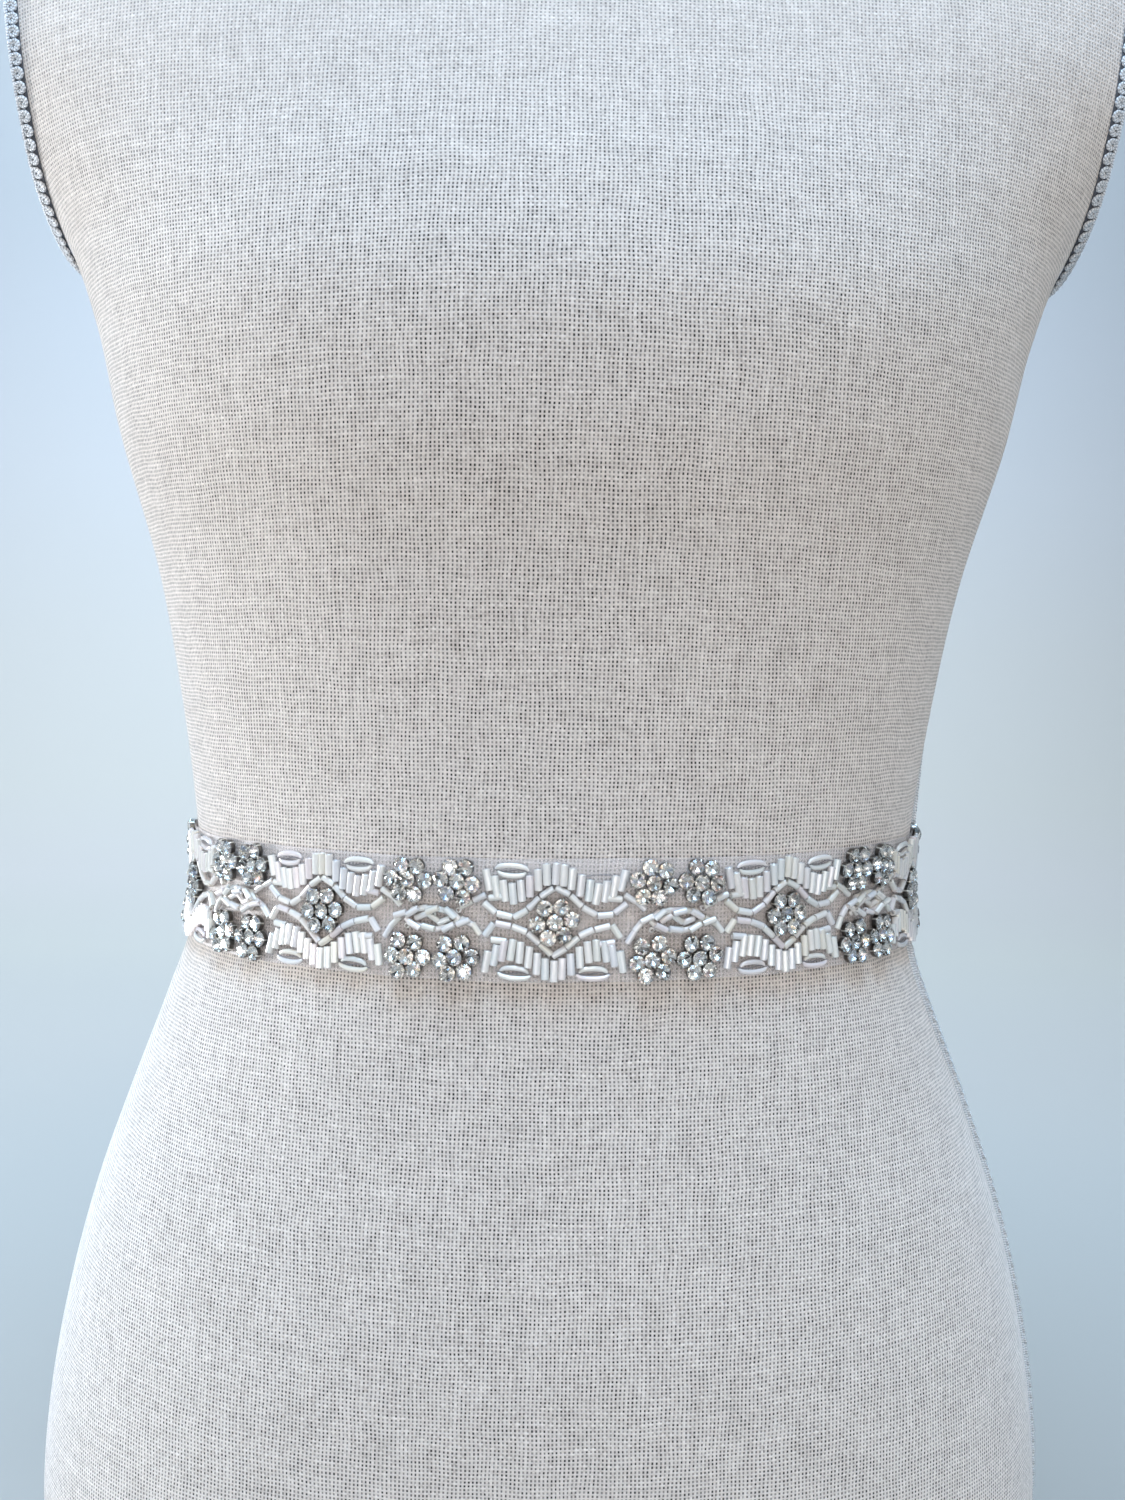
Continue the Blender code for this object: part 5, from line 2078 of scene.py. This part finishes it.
@dataclass
class SashOnForm:
    """Everything that shows, in the order a maker would put it together."""

    form: FormShape
    waist: WaistLine

    def build(self) -> list[bpy.types.Object]:
        """Returns:
            All pieces.
        """
        made = DressForm(self.form).build()
        made += ScrollBraid(self.form).build()
        ribbon = OrganzaRibbon(self.waist).build()
        trim = BugleFans(self.waist).build() + CurvedEyes(self.waist).build()
        trim += BeadStrands(self.waist).build() + CentreRings(self.waist).build()
        trim += ClawFlowers(self.waist).build()
        closure = BackClosure(self.waist)
        inner, outer, *snaps = closure.build()
        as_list(snaps)
        return made + [ribbon] + trim + [inner, outer] + snaps


@dataclass(frozen=True)
class SoftLight:
    """A soft lamp; a spread under 180 degrees keeps its light off the floor."""

    name: str
    place: tuple[float, float, float]
    aim: tuple[float, float, float]
    size: tuple[float, float]
    watts: float
    colour: str
    spread: float = 180.0

    def add(self) -> None:
        """Adds the lamp to the scene, unseen itself."""
        lamp = bpy.data.lights.new(self.name, "AREA")
        lamp.shape = "RECTANGLE"
        lamp.size, lamp.size_y = self.size
        lamp.energy = self.watts
        lamp.color = linear(self.colour)[:3]
        lamp.spread = math.radians(self.spread)
        thing = bpy.data.objects.new(self.name, lamp)
        thing.location = self.place
        thing.rotation_euler = (Vector(self.aim) - Vector(self.place)).to_track_quat("-Z", "Y").to_euler()
        thing.visible_camera = False
        bpy.context.scene.collection.objects.link(thing)


@dataclass
class Studio:
    """The camera at the photo's angle, a pale seamless floor and wall, and soft light."""

    camera_place: tuple[float, float, float] = (-0.0042, -0.5529, 0.3494)
    focal_pixels: float = 1603.4
    picture_height: int = 1500
    pan_right: float = 0.674
    pitch_down: float = 3.823
    roll: float = 1.282
    floor_half_width: float = 5.0
    wall_at: float = 2.6
    wall_height: float = 3.2
    cove_radius: float = 1.2
    lights: tuple[SoftLight, ...] = (
        SoftLight("skylight_front", (-0.1, -0.5, 2.2), (0, 0, 0.5), (1.1, 1.1), 62.0, "#B4DCFF"),
        SoftLight("skylight_back", (0.0, 1.5, 2.3), (0, 1.1, 0.0), (1.5, 1.1), 78.0, "#C4E4FF"),
        SoftLight("left_window", (-2.3, 0.45, 0.2), (0, 0, 0.52), (1.0, 0.5), 9.6, "#F8FCFF", 60.0),
        SoftLight("backdrop_wash", (0.0, 1.2, 2.6), (0, 2.6, 0.9), (2.4, 0.6), 7.0, "#D8ECFF"),
        SoftLight("room_fill_high", (0.1, -1.9, 1.6), (0, 0, 0.35), (1.4, 1.2), 11.4, "#FFFBF4"),
        SoftLight("room_fill_low", (0.0, -1.7, 0.25), (0, 0, 0.3), (1.4, 0.5), 0.9, "#FFF3E4", 60.0),
        SoftLight("window_strip_left", (-0.8, -1.4, 0.13), (0, 0, 0.27), (0.16, 0.24), 0.075, "#FFFFFF", 40.0),
        SoftLight("window_strip_right", (0.6, -1.5, 0.13), (0, 0, 0.27), (0.14, 0.24), 0.045, "#FFFFFF", 40.0),
    )

    def add_camera(self) -> None:
        """Makes the camera and sets it as the scene's."""
        data = bpy.data.cameras.new("photo_camera")
        data.sensor_width = 36.0
        data.lens = self.focal_pixels / self.picture_height * data.sensor_width
        data.clip_start, data.clip_end = 0.01, 50.0
        camera = bpy.data.objects.new("photo_camera", data)
        looking = Euler((math.radians(90 - self.pitch_down), 0, -math.radians(self.pan_right))).to_matrix()
        rolled = looking @ Matrix.Rotation(math.radians(self.roll), 3, "Z")
        camera.matrix_world = Matrix.Translation(self.camera_place) @ rolled.to_4x4()
        bpy.context.scene.collection.objects.link(camera)
        bpy.context.scene.camera = camera

    def add_floor(self) -> None:
        """Makes the floor and the wall behind, joined by a cove."""
        profile = [(-self.floor_half_width, 0.0), (self.wall_at - self.cove_radius, 0.0)]
        for turn in np.linspace(0, math.pi / 2, 16)[1:]:
            profile.append((
                self.wall_at - self.cove_radius + self.cove_radius * math.sin(turn),
                self.cove_radius * (1 - math.cos(turn)),
            ))
        profile.append((self.wall_at, self.wall_height))
        points = [(x, y, z - 0.2 * MM) for y, z in profile for x in (-self.floor_half_width, self.floor_half_width)]
        faces = [(2 * i, 2 * i + 1, 2 * i + 3, 2 * i + 2) for i in range(len(profile) - 1)]
        mesh = bpy.data.meshes.new("studio_floor")
        mesh.from_pydata(points, [], faces)
        mesh.materials.append(StudioPaper().material())
        mesh.shade_smooth()
        floor = bpy.data.objects.new("studio_floor", mesh)
        bpy.context.scene.collection.objects.link(floor)

    def add_sky(self) -> None:
        """Lights the room evenly from all round; the light from above comes from the lamps."""
        world = bpy.data.worlds.new("soft_room")
        world.use_nodes = True
        tree = world.node_tree
        tree.nodes.clear()
        way = add_node(tree, "ShaderNodeTexCoord", output="Generated")
        height = add_node(tree, "ShaderNodeSeparateXYZ", inputs={0: way}, output=2)
        share = add_node(tree, "ShaderNodeMapRange", inputs={0: height, 1: -0.4, 2: 0.9})
        colour = Ramp(((0.0, "#E7F3FF"), (0.5, "#ABB4BD"), (1.0, "#3A3D40"))).add(tree, share)
        light = add_node(tree, "ShaderNodeBackground", inputs={"Color": colour, "Strength": 0.9})
        add_node(tree, "ShaderNodeOutputWorld", inputs={"Surface": light})
        bpy.context.scene.world = world

    def build(self) -> None:
        """Makes the camera, the floor and the light."""
        self.add_camera()
        self.add_floor()
        self.add_sky()
        for light in self.lights:
            light.add()
        bpy.context.scene.view_settings.view_transform = "Standard"


def main() -> None:
    """Builds the studio, the form and the sash, and reports each piece."""
    logging.basicConfig(level=logging.INFO, format="%(name)s: %(message)s")
    Studio().build()
    form = FormShape(FORM_SECTIONS)
    for piece in SashOnForm(form, WaistLine(form)).build():
        log.info("%s: %d faces", piece.name, len(piece.data.polygons))


if __name__ == "__main__":
    main()
